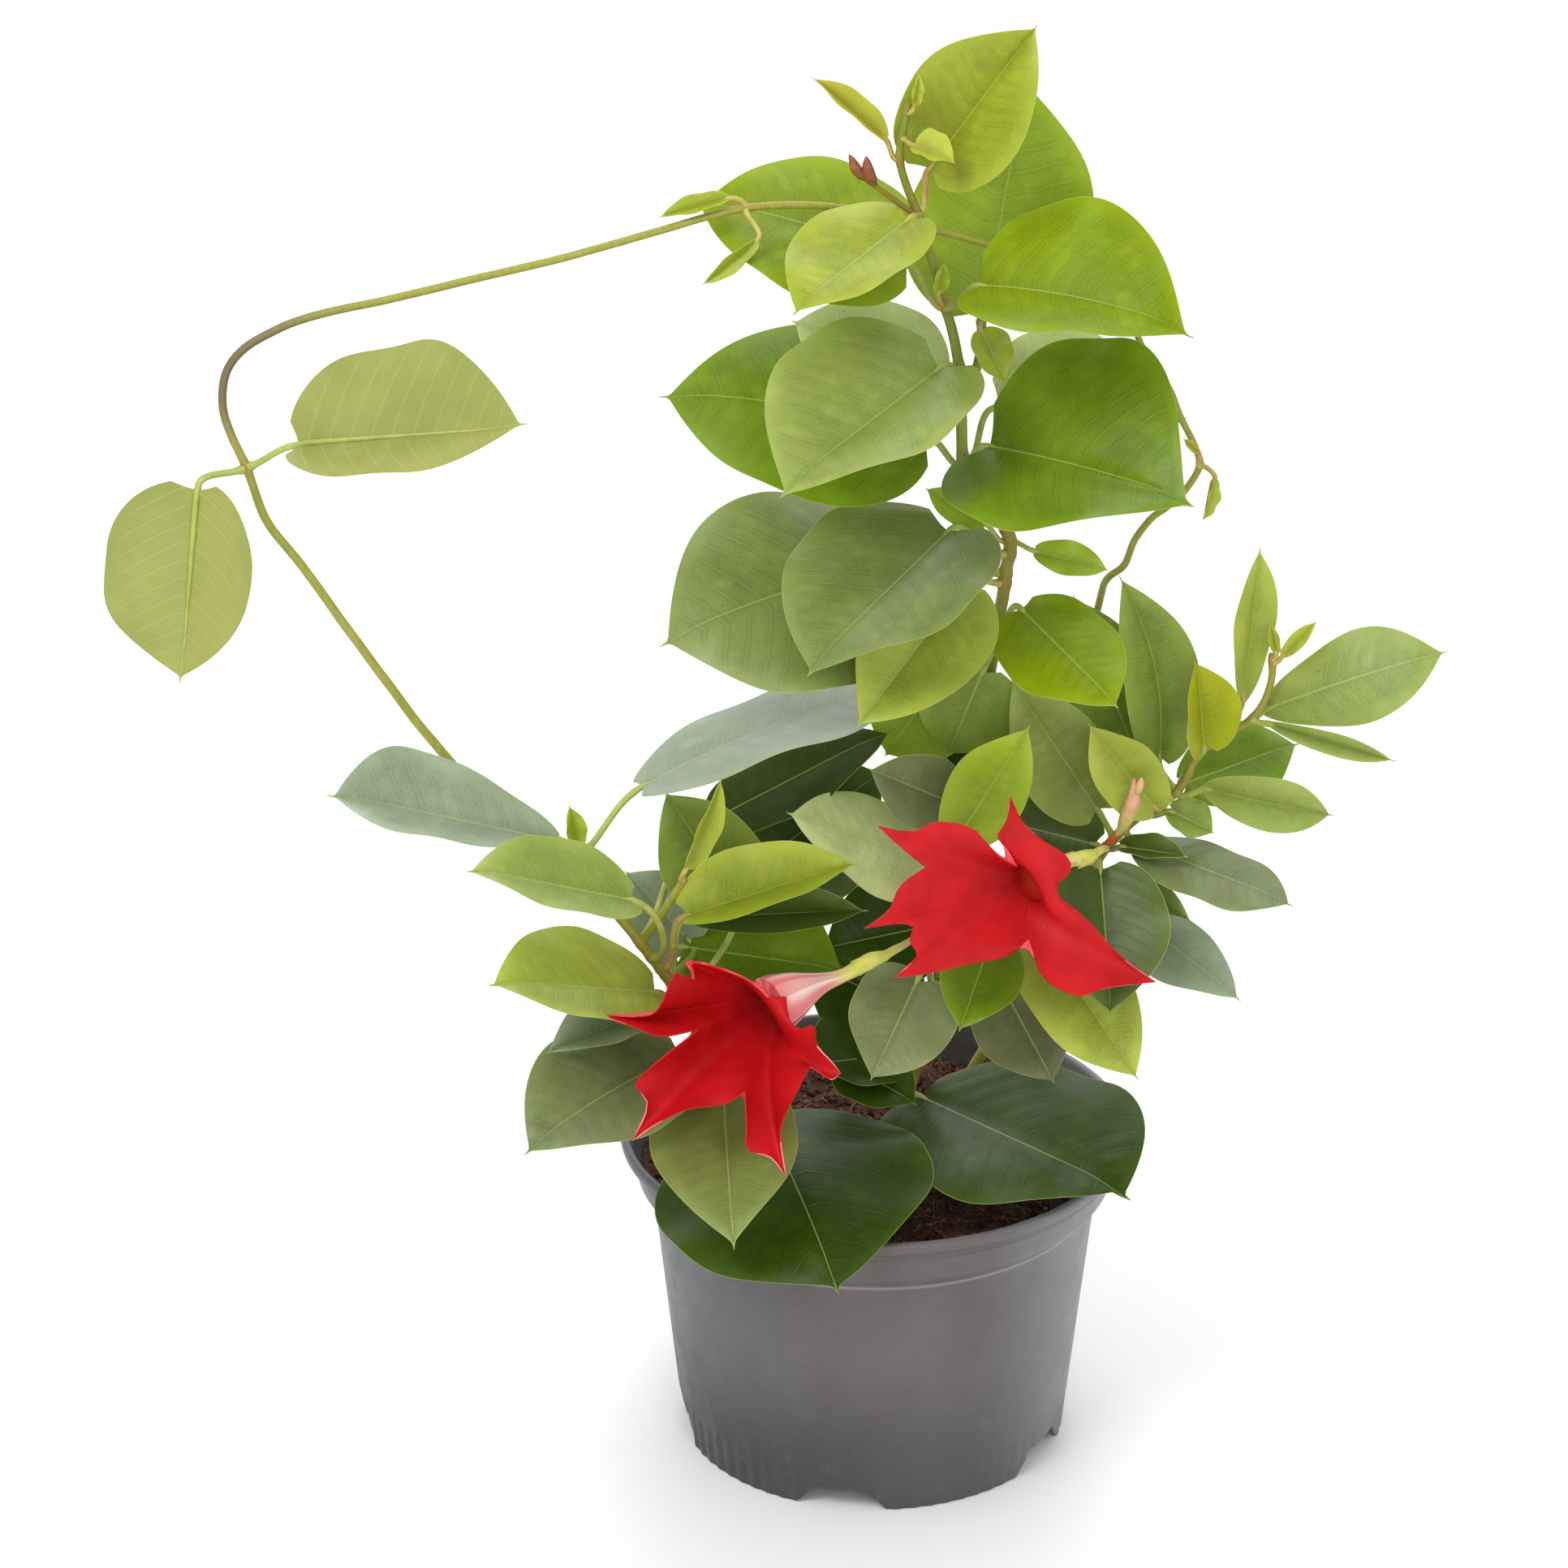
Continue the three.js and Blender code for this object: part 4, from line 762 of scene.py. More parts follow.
leaf("left_inner", LEFT, (-61, -38, 167), (-54, -40, 184), (-5, -32, 198), 30, (-0.1, -0.6, 0.8), 45, BROAD,
     "young")
leaf("left_third", LEFT, (-56, -35, 157), (-62, -42, 161), (-107, -72, 179), 44, (0.4, -0.1, 0.9), 15, BROAD,
     "light")
leaf("left_low", LEFT, (-46, -26, 137), (-55, -38, 139), (-98, -80, 130), 47, (0.1, -0.3, 1), 15, MIDDLE,
     "slate", arch=3)
leaf("runner_right", LEFT, (-174, -30, 315), (-160, -31, 322), (-95, -45, 333), 50, (0.3, 0.6, -0.8), -33,
     LATE, "pale")
leaf("runner_left", LEFT, (-174, -30, 315), (-187, -35, 311), (-192, -50, 259), 48, (0.2, 0.9, -0.3), -28,
     MIDDLE, "pale")
leaf("rim_large", LEFT, (-32, -9, 107), (-33, -20, 111), (-10, -96, 96), 80, (-0.12, -0.3, 1), -8, MIDDLE,
     "dark", arch=5, quilt=0.2)
leaf("rim_right", MAIN, (11, 12, 105), (13, 0, 107), (73, -57, 106), 72, (-0.1, -0.1, 1), 8, LATE, "dark",
     other=EARLY, quilt=0.26)
leaf("rim_front", LEFT, (-48, -28, 141), (-43, -50, 134), (-39, -98, 110), 44, (-0.1, -0.4, 0.9), 20, SHARP,
     "dull", arch=2)
leaf("low_right", RIGHT, (71, 5, 191), (76, 0, 189), (119, -22, 181), 28, (0.1, -0.2, 1), 0, LATE, "slate")
leaf("low_far_right", RIGHT, (59, 16, 166), (67, 0, 172), (105, -25, 152), 26, (0.2, -0.4, 0.9), 0, BROAD,
     "grey_painted_sheen")
leaf("low_grey", RIGHT, (64, 10, 178), (64, -12, 187), (67, -42, 155), 38, (0.2, -0.7, 0.7), 25, BROAD,
     "deep")
leaf("low_young", RIGHT, (57, 19, 160), (47, -15.5, 168), (75, -45, 136), 33, (-0.1, -0.8, 0.6), 25, BROAD,
     "light")
leaf("low_dark", RIGHT, (48, 26, 140), (36, -2, 146), (52, -20, 122), 30, (-0.1, -0.8, 0.6), 20, BROAD,
     "dusk")
leaf("low_centre", MAIN, (24, 13, 165), (33, -18, 167), (24, -44, 151), 26, (0.2, -0.6, 0.8), 20, BROAD,
     "fresh")
leaf("low_left", MAIN, (18, 13, 138), (12, -22, 156), (-1, -46, 136), 33, (0.2, -0.7, 0.6), 20, BROAD,
     "slate")
leaf("right_top", RIGHT, (107, 2, 228), (111, 4, 230), (161, -4, 252), 27, (-0.4, -0.8, 0.5), 0, SLIM, "soft",
     arch=3)
leaf("right_upright", RIGHT, (103, 3, 225), (104.5, 9, 231), (108, 6, 279), 14, (0.3, -0.9, 0), 25, SLIM,
     "light")
leaf("right_curled", RIGHT, (92, 3, 216), (93, -3, 221), (90, -6, 249), 24, (0.6, -0.8, -0.1), 35, BROAD,
     "golden")
leaf("right_narrow", RIGHT, (107, 2, 228), (112, -2, 228), (147, -14, 222), 10, (-0.3, -0.9, 0.4), 50, SLIM,
     "soft", arch=5)
leaf("right_back", RIGHT, (90, 4, 210), (89, 14, 202), (122, 20, 213), 28, (-0.2, -0.5, 0.8), 5, LONG,
     "fresh")
leaf("right_low", RIGHT, (86, 4, 204), (95, -3, 208), (130, -14, 205), 20, (-0.3, -0.9, 0.4), 40, SLIM,
     "soft", arch=6)

bract("crown_tip_left", MAIN, (5, 2, 394), (1, 2, 400), (-19, 4, 417), 12, (0.5, -0.8, 0.4), 55, LONG, "tip")
bract("crown_tip_right", MAIN, (6, 1, 400), (9, -4, 400), (20, -9, 397), 13, (0.1, -0.6, 0.8), 40, BROAD,
      "tip")
bract("crown_tip_point", MAIN, (7, 0, 408), (9, -1, 411), (10, -3, 420), 5, (0.2, -1, 0), 50, LONG, "tip")
bract("node_tip", MAIN, (18, 5, 351), (16, 2, 356), (17.5, 0.5, 365), 6, (0.1, -1, 0), 45, LONG, "tip")
bract("branch_tip", CROWN_BRANCH, (28, 12, 344), (28, 7, 343), (35, 0, 330), 13, (0.3, -0.8, 0.5), 25, BROAD,
      "young")
bract("middle_tip_right", MAIN, (37, 6, 281), (44, 2, 279), (65, -2, 275), 11, (0.2, -0.8, 0.6), 20, LONG,
      "bright")
bract("middle_tip_left", MAIN, (37, 6, 281), (30, 5, 286), (13, 4, 297), 11, (-0.1, -0.9, 0.5), 25, LONG,
      "bright")
bract("runner_tip_far", LEFT, (-37, 2, 380), (-42, 1, 383), (-61, 0, 378), 8, (0, -0.7, 0.7), 45, LONG,
      "young")
bract("runner_tip_low", LEFT, (-37, 2, 380), (-34, -5, 373), (-49, -8, 361), 7, (0.7, -0.5, 0.5), 45, LONG,
      "young")
bract("left_tip", LEFT, (-83, -37, 201), (-84, -40, 206), (-86, -42, 219), 8, (0.4, -0.9, 0), 40, LONG,
      "young")
bract("right_runner_tip_low", RIGHT_RUNNER, (90, 6, 304), (94, 2, 301), (91, -2, 290), 6, (0.6, -0.8, 0), 45,
      LONG, "tip")
bract("right_runner_tip_high", RIGHT_RUNNER, (90, 6, 304), (89, 3, 309), (85, 2, 313), 4, (0.3, -0.9, 0.2),
      45, LONG, "tip")
bract("right_shoot_tip", RIGHT, (112, 2, 247), (113, 1, 249), (111, 1, 258), 5, (0.1, -1, 0), 50, LONG, "tip")
bract("right_shoot_tip_out", RIGHT, (112, 2, 246), (115, 1, 248), (124, 0, 259), 6, (-0.4, -0.9, 0.1), 40,
      LONG, "tip")
inner("inner_low_centre", MAIN, (21, 13, 150), (17, 8, 159), (-16, 4, 153), 34, (-0.1, -0.8, 0.6), 15, BROAD,
      "dark")
inner("inner_crown", MAIN, (21, 5, 331), (16, 14, 324), (-25, 21, 341), 34, (0.1, -0.8, 0.6), 10, BROAD,
      "pale_painted_sheen")
inner("inner_centre_right", MAIN, (29, 11, 212), (33, 18, 214), (52, 24, 190), 20, (0, -0.9, 0.3), 20, BROAD,
      "deep")
inner("inner_soil_front", MAIN, (12, 12, 112), (-8, -4, 119), (12, -19, 114.5), 24, (0.1, -0.6, 0.8), 20,
      BROAD, "dark")
inner("inner_soil_left", MAIN, (14, 12, 118), (2, 2, 119), (-20, -14, 124), 32, (-0.1, -0.5, 0.9), 20, BROAD,
      "dark")
inner("inner_behind", MAIN, (28, 12, 200), (36, 22, 185), (10, 26, 218), 36, (0, -0.9, 0.3), 15, BROAD,
      "dark")
inner("inner_pot_back", MAIN, (15, 12, 124), (10, 14, 128), (-22, 12, 146), 36, (-0.1, -0.8, 0.6), 15, BROAD,
      "dark")
inner("inner_wide", LEFT, (-52, -32, 149), (-42, 6, 172), (2, 19, 204), 48, (-0.2, -0.8, 0.6), 10, MIDDLE,
      "deep")
inner("inner_left_low", LEFT, (-48, -28, 140), (-56, -14, 162), (-8, -12, 154), 50, (0, -0.6, 0.8), 15, BROAD,
      "fresh")
inner("inner_folded", LEFT, (-60, -38, 165), (-53, -28, 178), (-2, -22, 178), 22, (0, -0.8, 0.6), 50, LONG,
      "deep")
inner("inner_left_upright", LEFT, (-58, -36, 162), (-54, -12, 163), (-72, -10, 184), 28, (0.2, -0.9, 0.3), 25,
      BROAD, "grey_painted_sheen")
inner("inner_left_out", LEFT, (-50, -30, 145), (-65, -34, 151), (-93, -54, 148), 26, (0, -0.7, 0.7), 50, LONG,
      "grey_painted_sheen")
inner("right_small_low", RIGHT, (67, 6, 186), (71, -2, 189), (89, -12, 191), 11, (0, -0.6, 0.8), 40, LONG,
      "deep")
inner("right_small_lower", RIGHT, (64, 9, 179), (68, 1, 177), (91, -11, 170), 13, (0, -0.6, 0.8), 45, LONG,
      "dull")
inner("right_small_back", RIGHT, (64, 10, 178), (64, 15, 182), (34, 17, 189), 25, (0, -0.9, 0.4), 15, BROAD,
      "deep")
inner("right_small_out", RIGHT, (78, 5, 197), (85, 3, 198), (97, 0, 193), 14, (0.1, -0.7, 0.7), 30, LONG,
      "mid")
bract("left_shoot_tip", LEFT_SHOOT, (-54, -47, 199), (-53, -50, 204), (-43, -50, 231), 11, (0.5, -0.8, 0.1),
      45, LONG, "young")


# ---- pot ----
BASE_RADIUS = 57
WALL_TOP = 79.5
WALL_TOP_RADIUS = 65.6
WALL_THICK = 1.5
FLOOR_RAISE = 7.5
FLOOR_THICK = 2
NOTCH_COUNT = 5
NOTCH_FRONT_ANGLE = -9.3
NOTCH_LOW = 27
NOTCH_HIGH = 16
NOTCH_HEIGHT = 6.5
FLUTE_TOP = 14
FLUTE_COUNT = 72
POT_TURNS = 480

# Radius and height of the rows from under the collar up to the rim's top, and of those inside it.
COLLAR = [
    (65.5, 78.4), (65.75, 79.2), (66.6, 80.2), (68.0, 81.7), (69.2, 82.9), (69.9, 83.9), (70.25, 85.0),
    (70.9, 87.5), (71.5, 90.0), (71.75, 90.8), (72.15, 91.1), (72.0, 91.6), (72.1, 92.4),
    (72.5, 92.7), (72.5, 93.2), (72.4, 93.8), (73.2, 94.1), (74.3, 94.4), (74.8, 94.9), (75, 95.6),
    (75, 96.7), (74.85, 97.3), (74.4, 97.8), (73.8, 98.0),
]
RIM_INSIDE = [
    (73.1, 97.9), (72.6, 97.5), (72.3, 96.8), (71.3, 94.0), (70.2, 90.0), (68.9, 85.2), (67.6, 83.4),
    (65.4, 81.0), (64.3, 79.4),
]


def wall_radius(z):
    return BASE_RADIUS + (WALL_TOP_RADIUS - BASE_RADIUS) * z / WALL_TOP


def foot_height(angles):
    """Height of the foot's lower edge: nothing but at the notches, which are wider at the floor."""
    step = 2 * math.pi / NOTCH_COUNT
    off = (angles - math.radians(NOTCH_FRONT_ANGLE) + step / 2) % step - step / 2
    across = abs(off) * BASE_RADIUS
    return NOTCH_HEIGHT * np.clip((NOTCH_LOW / 2 - across) / ((NOTCH_LOW - NOTCH_HIGH) / 2), 0, 1)


def turned(radius, angles, z):
    """A ring about the pot's axis, from the front on."""
    z = np.broadcast_to(z, len(angles))
    return np.column_stack([radius * np.sin(angles), -radius * np.cos(angles), z])


def pot_paint(name, light, dark):
    """Matte recycled plastic: cloudy grey, with painted reflections (blue-grey at the left, dark low on the
    left, pale at the right) and a pale line under the collar.
    """
    paint = Paint(name)
    x, _, z = paint.parts(paint.place)
    paint.base(paint.step(paint.noise(26, 4, 0.6), 0.3, 0.7), dark, light)
    # Painted reflection: a blue-grey tint towards the left side.
    paint.coat(paint.step(x, -0.075, -0.01, 0.6, 0.0), (84, 90, 102))
    # Painted dark reflection: darker low on the pot, most at the left.
    low = paint.product(paint.step(z, 0.012, 0.056, 1.0, 0.0), paint.step(x, -0.07, 0.05, 0.95, 0.4))
    paint.coat(low, (50, 50, 55))
    # Painted reflection: paler towards the right side.
    paint.coat(paint.step(x, 0.03, 0.07, 0.0, 0.7), (134, 137, 143))
    under_collar = paint.zigzag(paint.product(paint.math("SUBTRACT", z, 0.0789), 1000), 4)
    under_collar = paint.product(paint.step(under_collar, 0.2, 0.9, 0.4, 0.0), paint.step(z, 0.077, 0.078))
    paint.coat(paint.product(under_collar, paint.step(z, 0.080, 0.081, 1.0, 0.0)), (160, 156, 156))
    speck = paint.noise(1600, 2, 0.6)
    paint.coat(paint.step(speck, 0.55, 0.8, 0.0, 0.25), (128, 122, 118))
    dust = paint.step(paint.noise(90, 5, 0.7), 0.55, 0.8)
    paint.coat(paint.product(dust, 0.15), (150, 140, 128))
    rough = paint.step(paint.noise(120, 4), 0.2, 0.8, 0.36, 0.5)
    height = paint.sum(speck, paint.product(paint.noise(420, 3), 1.5))
    return paint.finish(rough, 0.4, height, 0.00012, 0.5)


def make_pot():
    """Outside, rim, inside and underside of the pot as one turned shell with flutes and notches."""
    angles = around(POT_TURNS)
    low = foot_height(angles)
    flute = 0.5 + 0.5 * np.cos(angles * FLUTE_COUNT)
    rows = []

    def ring(radius, z, groove=0.0):
        """A ring at height z. Below the flutes' top its height is lifted over the notches."""
        height = low + z * (FLUTE_TOP - low) / FLUTE_TOP if z < FLUTE_TOP else z
        rows.append(turned(radius - groove * flute, angles, height))

    for z in (FLOOR_RAISE, 4, 1):
        ring(wall_radius(z) - WALL_THICK, z)
    ring(BASE_RADIUS - 1.1, 0)
    ring(BASE_RADIUS - 0.5, 0, 0.2)
    for z in (0.4, 3, 6, 9, 11.5):
        ring(wall_radius(z), z, 0.4)
    ring(wall_radius(12.8), 12.8, 0.3)
    for z in (13.8, 14.4, 30, 46, 62, 76):
        ring(wall_radius(z), z)
    for radius, z in COLLAR:
        ring(radius, z)
    inside_row = len(rows)
    for radius, z in RIM_INSIDE:
        ring(radius, z)
    for z in (70, 50, 30, FLOOR_RAISE + FLOOR_THICK):
        ring(wall_radius(z) - WALL_THICK, z)
    shape = Shape()
    shape.add(rows, grid_faces(len(rows), POT_TURNS, closed=True))
    for k in range(inside_row * POT_TURNS, len(shape.faces)):
        shape.slots[k] = 1

    def plate(circles, up):
        """A face of the pot's floor, from its outer circle in."""
        rings = [turned(radius, angles, z) for radius, z in circles]
        faces = grid_faces(len(rings), POT_TURNS, closed=True, flip=not up)
        centre = tuple(range((len(rings) - 1) * POT_TURNS, len(rings) * POT_TURNS))
        faces.append(centre if up else centre[::-1])
        shape.add(rings, faces)

    plate([(55.6, FLOOR_RAISE), (13, FLOOR_RAISE), (12, FLOOR_RAISE - 0.8), (12, 0.3), (11.6, 0)], False)
    plate([(56.2, FLOOR_RAISE + FLOOR_THICK), (30, FLOOR_RAISE + FLOOR_THICK)], True)
    outside = pot_paint("pot_outside", (97, 93, 92), (86, 82, 81))
    # Painted shade: the inside takes a darker copy of the same plastic.
    inside = pot_paint("pot_inside_painted_shade", (84, 78, 77), (72, 67, 66))
    shape.build("nursery_pot", [outside, inside], "pot", ["pot"], "pot", 35)


# ---- soil ----
SOIL_TOP = 88
SOIL_RADIUS = 68.6
SOIL_RINGS = 54
SOIL_TURNS = 150
FIBRES = 420
# Dark crumbs, brown crumbs and white grains: their slot, how many, and their smallest and largest size.
CRUMBS = ((0, 1500, 0.5, 1.7), (1, 420, 0.4, 1.3), (2, 150, 0.35, 0.9))


def soil_height(x, y):
    """Lumpy surface from a few crossing waves, a little lower near the wall."""
    lumps = 1.1 * np.sin(x * 0.21 + 1.3) * np.sin(y * 0.19 + 0.4) + 0.7 * np.sin(x * 0.43 - y * 0.37 + 2.1)
    lumps = lumps + 0.5 * np.sin(x * 0.9 + 0.7) * np.cos(y * 0.83 + 1.9) + 0.3 * np.sin(x * 1.9 + y * 1.7)
    return SOIL_TOP - 0.6 + lumps - 1.6 * smooth(np.hypot(x, y), 60, 70)


def soil_paint(name, dark, light, scale=520):
    paint = Paint(name)
    paint.base(paint.step(paint.noise(scale, 5, 0.7), 0.35, 0.7), dark, light)
    return paint.finish(0.92, 0.5, paint.noise(scale * 1.7, 5, 0.7), 0.0006)


def add_crumb(shape, centre, size, slot):
    """A rough eight-sided grain with uneven corners."""
    corners = np.array([(1, 0, 0), (0, 1, 0), (-1, 0, 0), (0, -1, 0), (0, 0, 1), (0, 0, -1)], float)
    corners = corners * size * rng.uniform(0.55, 1.0, (6, 1)) + rng.normal(0, size * 0.14, (6, 3))
    turn = rng.uniform(0, 2 * math.pi)
    spin = np.array([[math.cos(turn), -math.sin(turn), 0], [math.sin(turn), math.cos(turn), 0], [0, 0, 1]])
    faces = [(0, 1, 4), (1, 2, 4), (2, 3, 4), (3, 0, 4), (1, 0, 5), (2, 1, 5), (3, 2, 5), (0, 3, 5)]
    shape.add(corners @ spin.T + centre, faces, slot)


def add_fibre(shape, x, y, length, slot):
    """A thin bent root or peat fibre that lies on the surface. One that would reach the wall is left out."""
    turn = rng.uniform(0, 2 * math.pi)
    t = np.linspace(-0.5, 0.5, 6)
    bend = rng.uniform(-0.35, 0.35) * length
    px = x + t * length * math.cos(turn) - (t**2) * bend * math.sin(turn)
    py = y + t * length * math.sin(turn) + (t**2) * bend * math.cos(turn)
    if np.hypot(px, py).max() >= SOIL_RADIUS - 1:
        return
    pz = soil_height(px, py) + rng.uniform(0.1, 0.7) + 0.6 * np.sin(t * 5 + rng.uniform(0, 6))
    tube(shape, np.column_stack([px, py, pz]), rng.uniform(0.12, 0.3), 5, (0, 0, 1), slot)


def random_place(radius):
    """A place inside a circle about the pot's axis."""
    out = radius * math.sqrt(rng.uniform(0, 1))
    angle = rng.uniform(0, 2 * math.pi)
    return out * math.sin(angle), out * math.cos(angle)


def make_soil():
    """The body of peat, then crumbs, white grains and fibres on its top."""
    radii = np.linspace(0.4, SOIL_RADIUS, SOIL_RINGS)
    angles = around(SOIL_TURNS)
    x = radii[:, None] * np.sin(angles)
    y = -radii[:, None] * np.cos(angles)
    top = np.stack([x, y, soil_height(x, y) + rng.normal(0, 0.16, x.shape)], axis=-1)
    wall = [(SOIL_RADIUS, 85.5), (67.5, 84.6), (63.4, 79.6), (56.0, FLOOR_RAISE + 2.4)]
    side = [turned(radius, angles, z) for radius, z in wall]
    shape = Shape()
    points = np.vstack([top.reshape(-1, 3), *side])
    shape.add(points, tube_faces(SOIL_RINGS + len(wall), SOIL_TURNS, flip=True))
    for kind, amount, small, large in CRUMBS:
        for _ in range(amount):
            px, py = random_place(SOIL_RADIUS - 2)
            size = rng.uniform(small, large)
            add_crumb(shape, (px, py, float(soil_height(px, py)) + size * 0.25), size, kind)
    for _ in range(FIBRES):
        px, py = random_place(SOIL_RADIUS)
        add_fibre(shape, px, py, rng.uniform(3, 13), 3)
    paints = [
        soil_paint("peat", (46, 26, 18), (104, 62, 42)),
        soil_paint("peat_crumb", (84, 46, 30), (146, 92, 62)),
        soil_paint("perlite", (190, 184, 170), (228, 224, 214), 900),
        soil_paint("peat_fibre", (104, 62, 40), (156, 106, 70)),
    ]
    shape.build("potting_soil", paints, "soil", ["soil"], "soil", 180)


# ---- flowers ----
EDGE_COLUMNS = 14
TUBE_STEPS = 18
LOBE_STEPS = 26
ROLLED_ROWS = 7
PETAL_THICK = 0.4


def petal_paint():
    """Inside of the flower: even red, fine streaks out of the throat, painted shade darkening the red about
    the throat, and a painted orange glow down the tube.
    """
    paint = Paint("petal_red")
    across, along, _ = paint.marks("petal")
    paint.base(paint.step(paint.noise(90, 3), 0.3, 0.7), (170, 9, 14), (190, 17, 22))
    wander = paint.product(paint.noise(140, 2), 1.2)
    streak = paint.zigzag(paint.sum(paint.product(across, 7.0), wander), 0.5)
    fade = paint.step(along, 0.05, 0.75, 0.45, 0.0)
    lines = paint.product(paint.step(streak, 0.0, 0.3, 1.0, 0.0), fade)
    paint.coat(lines, (140, 8, 18))
    # Painted shade: darker red about the throat.
    paint.coat(paint.step(along, -0.1, 0.5, 0.5, 0.0), (120, 5, 10))
    # Painted glow: bright orange down the tube, lifting its shade.
    paint.coat(paint.step(along, -0.35, -0.02, 0.9, 0.0), (232, 74, 28))
    return paint.finish(0.5, 0.18, paint.sum(lines, paint.noise(1100, 2)), 0.00015, 0.5)


def petal_back_paint():
    """Outside of the flower: yellow-green foot, pink-white striped tube, rosy backs of the lobes."""
    paint = Paint("petal_back")
    across, along, _ = paint.marks("petal")
    paint.base(paint.step(paint.noise(80, 3), 0.3, 0.7), (208, 44, 52), (222, 66, 74))
    lines = paint.step(paint.zigzag(paint.product(across, 6.0), 0.5), 0.05, 0.4)
    striped = paint.blend(lines, (240, 214, 206), (226, 130, 132))
    paint.coat(paint.step(along, -0.35, 0.3, 1.0, 0.0), striped)
    paint.coat(paint.step(along, -0.95, -0.6, 1.0, 0.0), (216, 208, 116))
    return paint.finish(0.42, 0.5, paint.sum(lines, paint.noise(1100, 2)), 0.00015, 0.5)


def rim_highlight_paint():
    """The thin pale edge at a lobe's tip: a painted highlight."""
    paint = Paint("petal_rim_painted_highlight")
    paint.base(paint.step(paint.noise(60, 3), 0.35, 0.7), (206, 50, 58), (232, 140, 146))
    return paint.finish(0.4)


# Each lobe runs from the notch before it, out along its left edge to its tip, and back along its right edge.
def lobe(notch, left, tip, right, roll=0.0):
    return dict(notch=notch, left=left, tip=tip, right=right, roll=roll)


FLOWERS = {
    "right": dict(
        path=[(56, -23.5, 195.4), (53, -27, 195.6), (48, -32.5, 195), (43.5, -37.5, 194)],
        radii=[1.8, 2.2, 4.4, 6.2],
        lobes=[
            lobe(
                (39.5, -40.5, 200.5), [(36.4, -39.5, 206), (33.8, -38.5, 209), (36.4, -36, 212.6)],
                (37.5, -31, 218),
                [(40.7, -36, 212.6), (46.2, -39.5, 208.7), (54.3, -41, 203), (54.1, -41.5, 199)],
            ),
            lobe(
                (48, -43, 195), [(60, -48, 187), (68.5, -52, 178.5)], (79, -50, 169.5),
                [(64, -56.5, 170.5), (57, -58.5, 169), (47, -57, 174)],
            ),
            lobe(
                (43, -49, 182), [(36.5, -53, 178.5), (25, -54.5, 176.5), (14, -56.5, 174.5)], (5, -58, 174),
                [(11.5, -54.5, 179.5), (9.5, -53, 183)],
            ),
            lobe(
                (10.5, -50, 186), [(8, -50, 187)], (-3.5, -52, 186.5),
                [(3.5, -49.5, 191), (6.5, -46.5, 197)],
            ),
            lobe(
                (14, -42, 201), [(10, -42, 204)], (0, -40.5, 213),
                [(10, -40.5, 211), (16, -39, 213.5), (27, -39, 211.5), (34, -41, 204)],
            ),
        ],
    ),
    "left": dict(
        path=[
            (-7, -38.6, 166.4), (-11, -41.5, 165.8), (-16, -45, 165.6), (-22, -49.5, 165),
            (-29, -54.5, 163.5),
        ],
        radii=[1.7, 1.9, 3.8, 7.0, 8.6],
        lobes=[
            lobe(
                (-55.5, -69, 180.5), [(-57, -65, 182)], (-59.5, -60, 184),
                [(-51, -62, 182.5), (-41, -64, 180), (-36, -64, 176.5), (-30, -62, 174.5)], 1.6,
            ),
            lobe(
                (-25, -61, 169.5),
                [
                    (-24.5, -64.5, 164), (-22, -69, 163), (-17, -72, 166), (-16.5, -76.5, 162.5),
                    (-12, -79.5, 158.5),
                ],
                (-9.5, -80.5, 155.5), [(-12, -82.5, 154.5), (-15.5, -81.5, 156.5)],
            ),
            lobe(
                (-18, -80, 157.5), [(-22, -85, 151), (-26, -90.5, 143.5)], (-24.5, -96.5, 131.5),
                [(-29, -94.5, 136.5), (-35, -94.5, 138.5), (-35.5, -90.5, 144.5)],
            ),
            lobe(
                (-36, -85, 152), [(-41, -87.5, 149.5), (-52.5, -89, 148), (-62, -92, 144)],
                (-67, -93.5, 140.5),
                [(-63, -88.5, 150), (-66.5, -86, 154.5), (-62.5, -83.5, 158)],
            ),
            lobe(
                (-49, -77, 167), [(-59.5, -78.5, 165.5), (-67.5, -76.5, 167.5)], (-77, -72.5, 169),
                [(-62, -75, 170.5), (-59, -74.5, 174.5), (-57.5, -72, 178)],
            ),
        ],
    ),
}


def lobe_edges(flower):
    """The outer edge of all five lobes as one closed line, with the roll of each of its points and its
    place on its lobe, from -1 to 1."""
    edge, rolls, place = [], [], []
    lobes = flower["lobes"]
    for this, following in zip(lobes, lobes[1:] + lobes[:1]):
        out = even_steps([this["notch"], *this["left"], this["tip"]], EDGE_COLUMNS)[:-1]
        back = even_steps([this["tip"], *this["right"], following["notch"]], EDGE_COLUMNS)[:-1]
        edge += [out, back]
        share = np.linspace(0, 1, 2 * EDGE_COLUMNS, endpoint=False)
        rolls.append(this["roll"] * np.sin(math.pi * share) ** 0.5)
        place.append(share * 2 - 1)
    return np.vstack(edge), np.concatenate(rolls), np.concatenate(place)


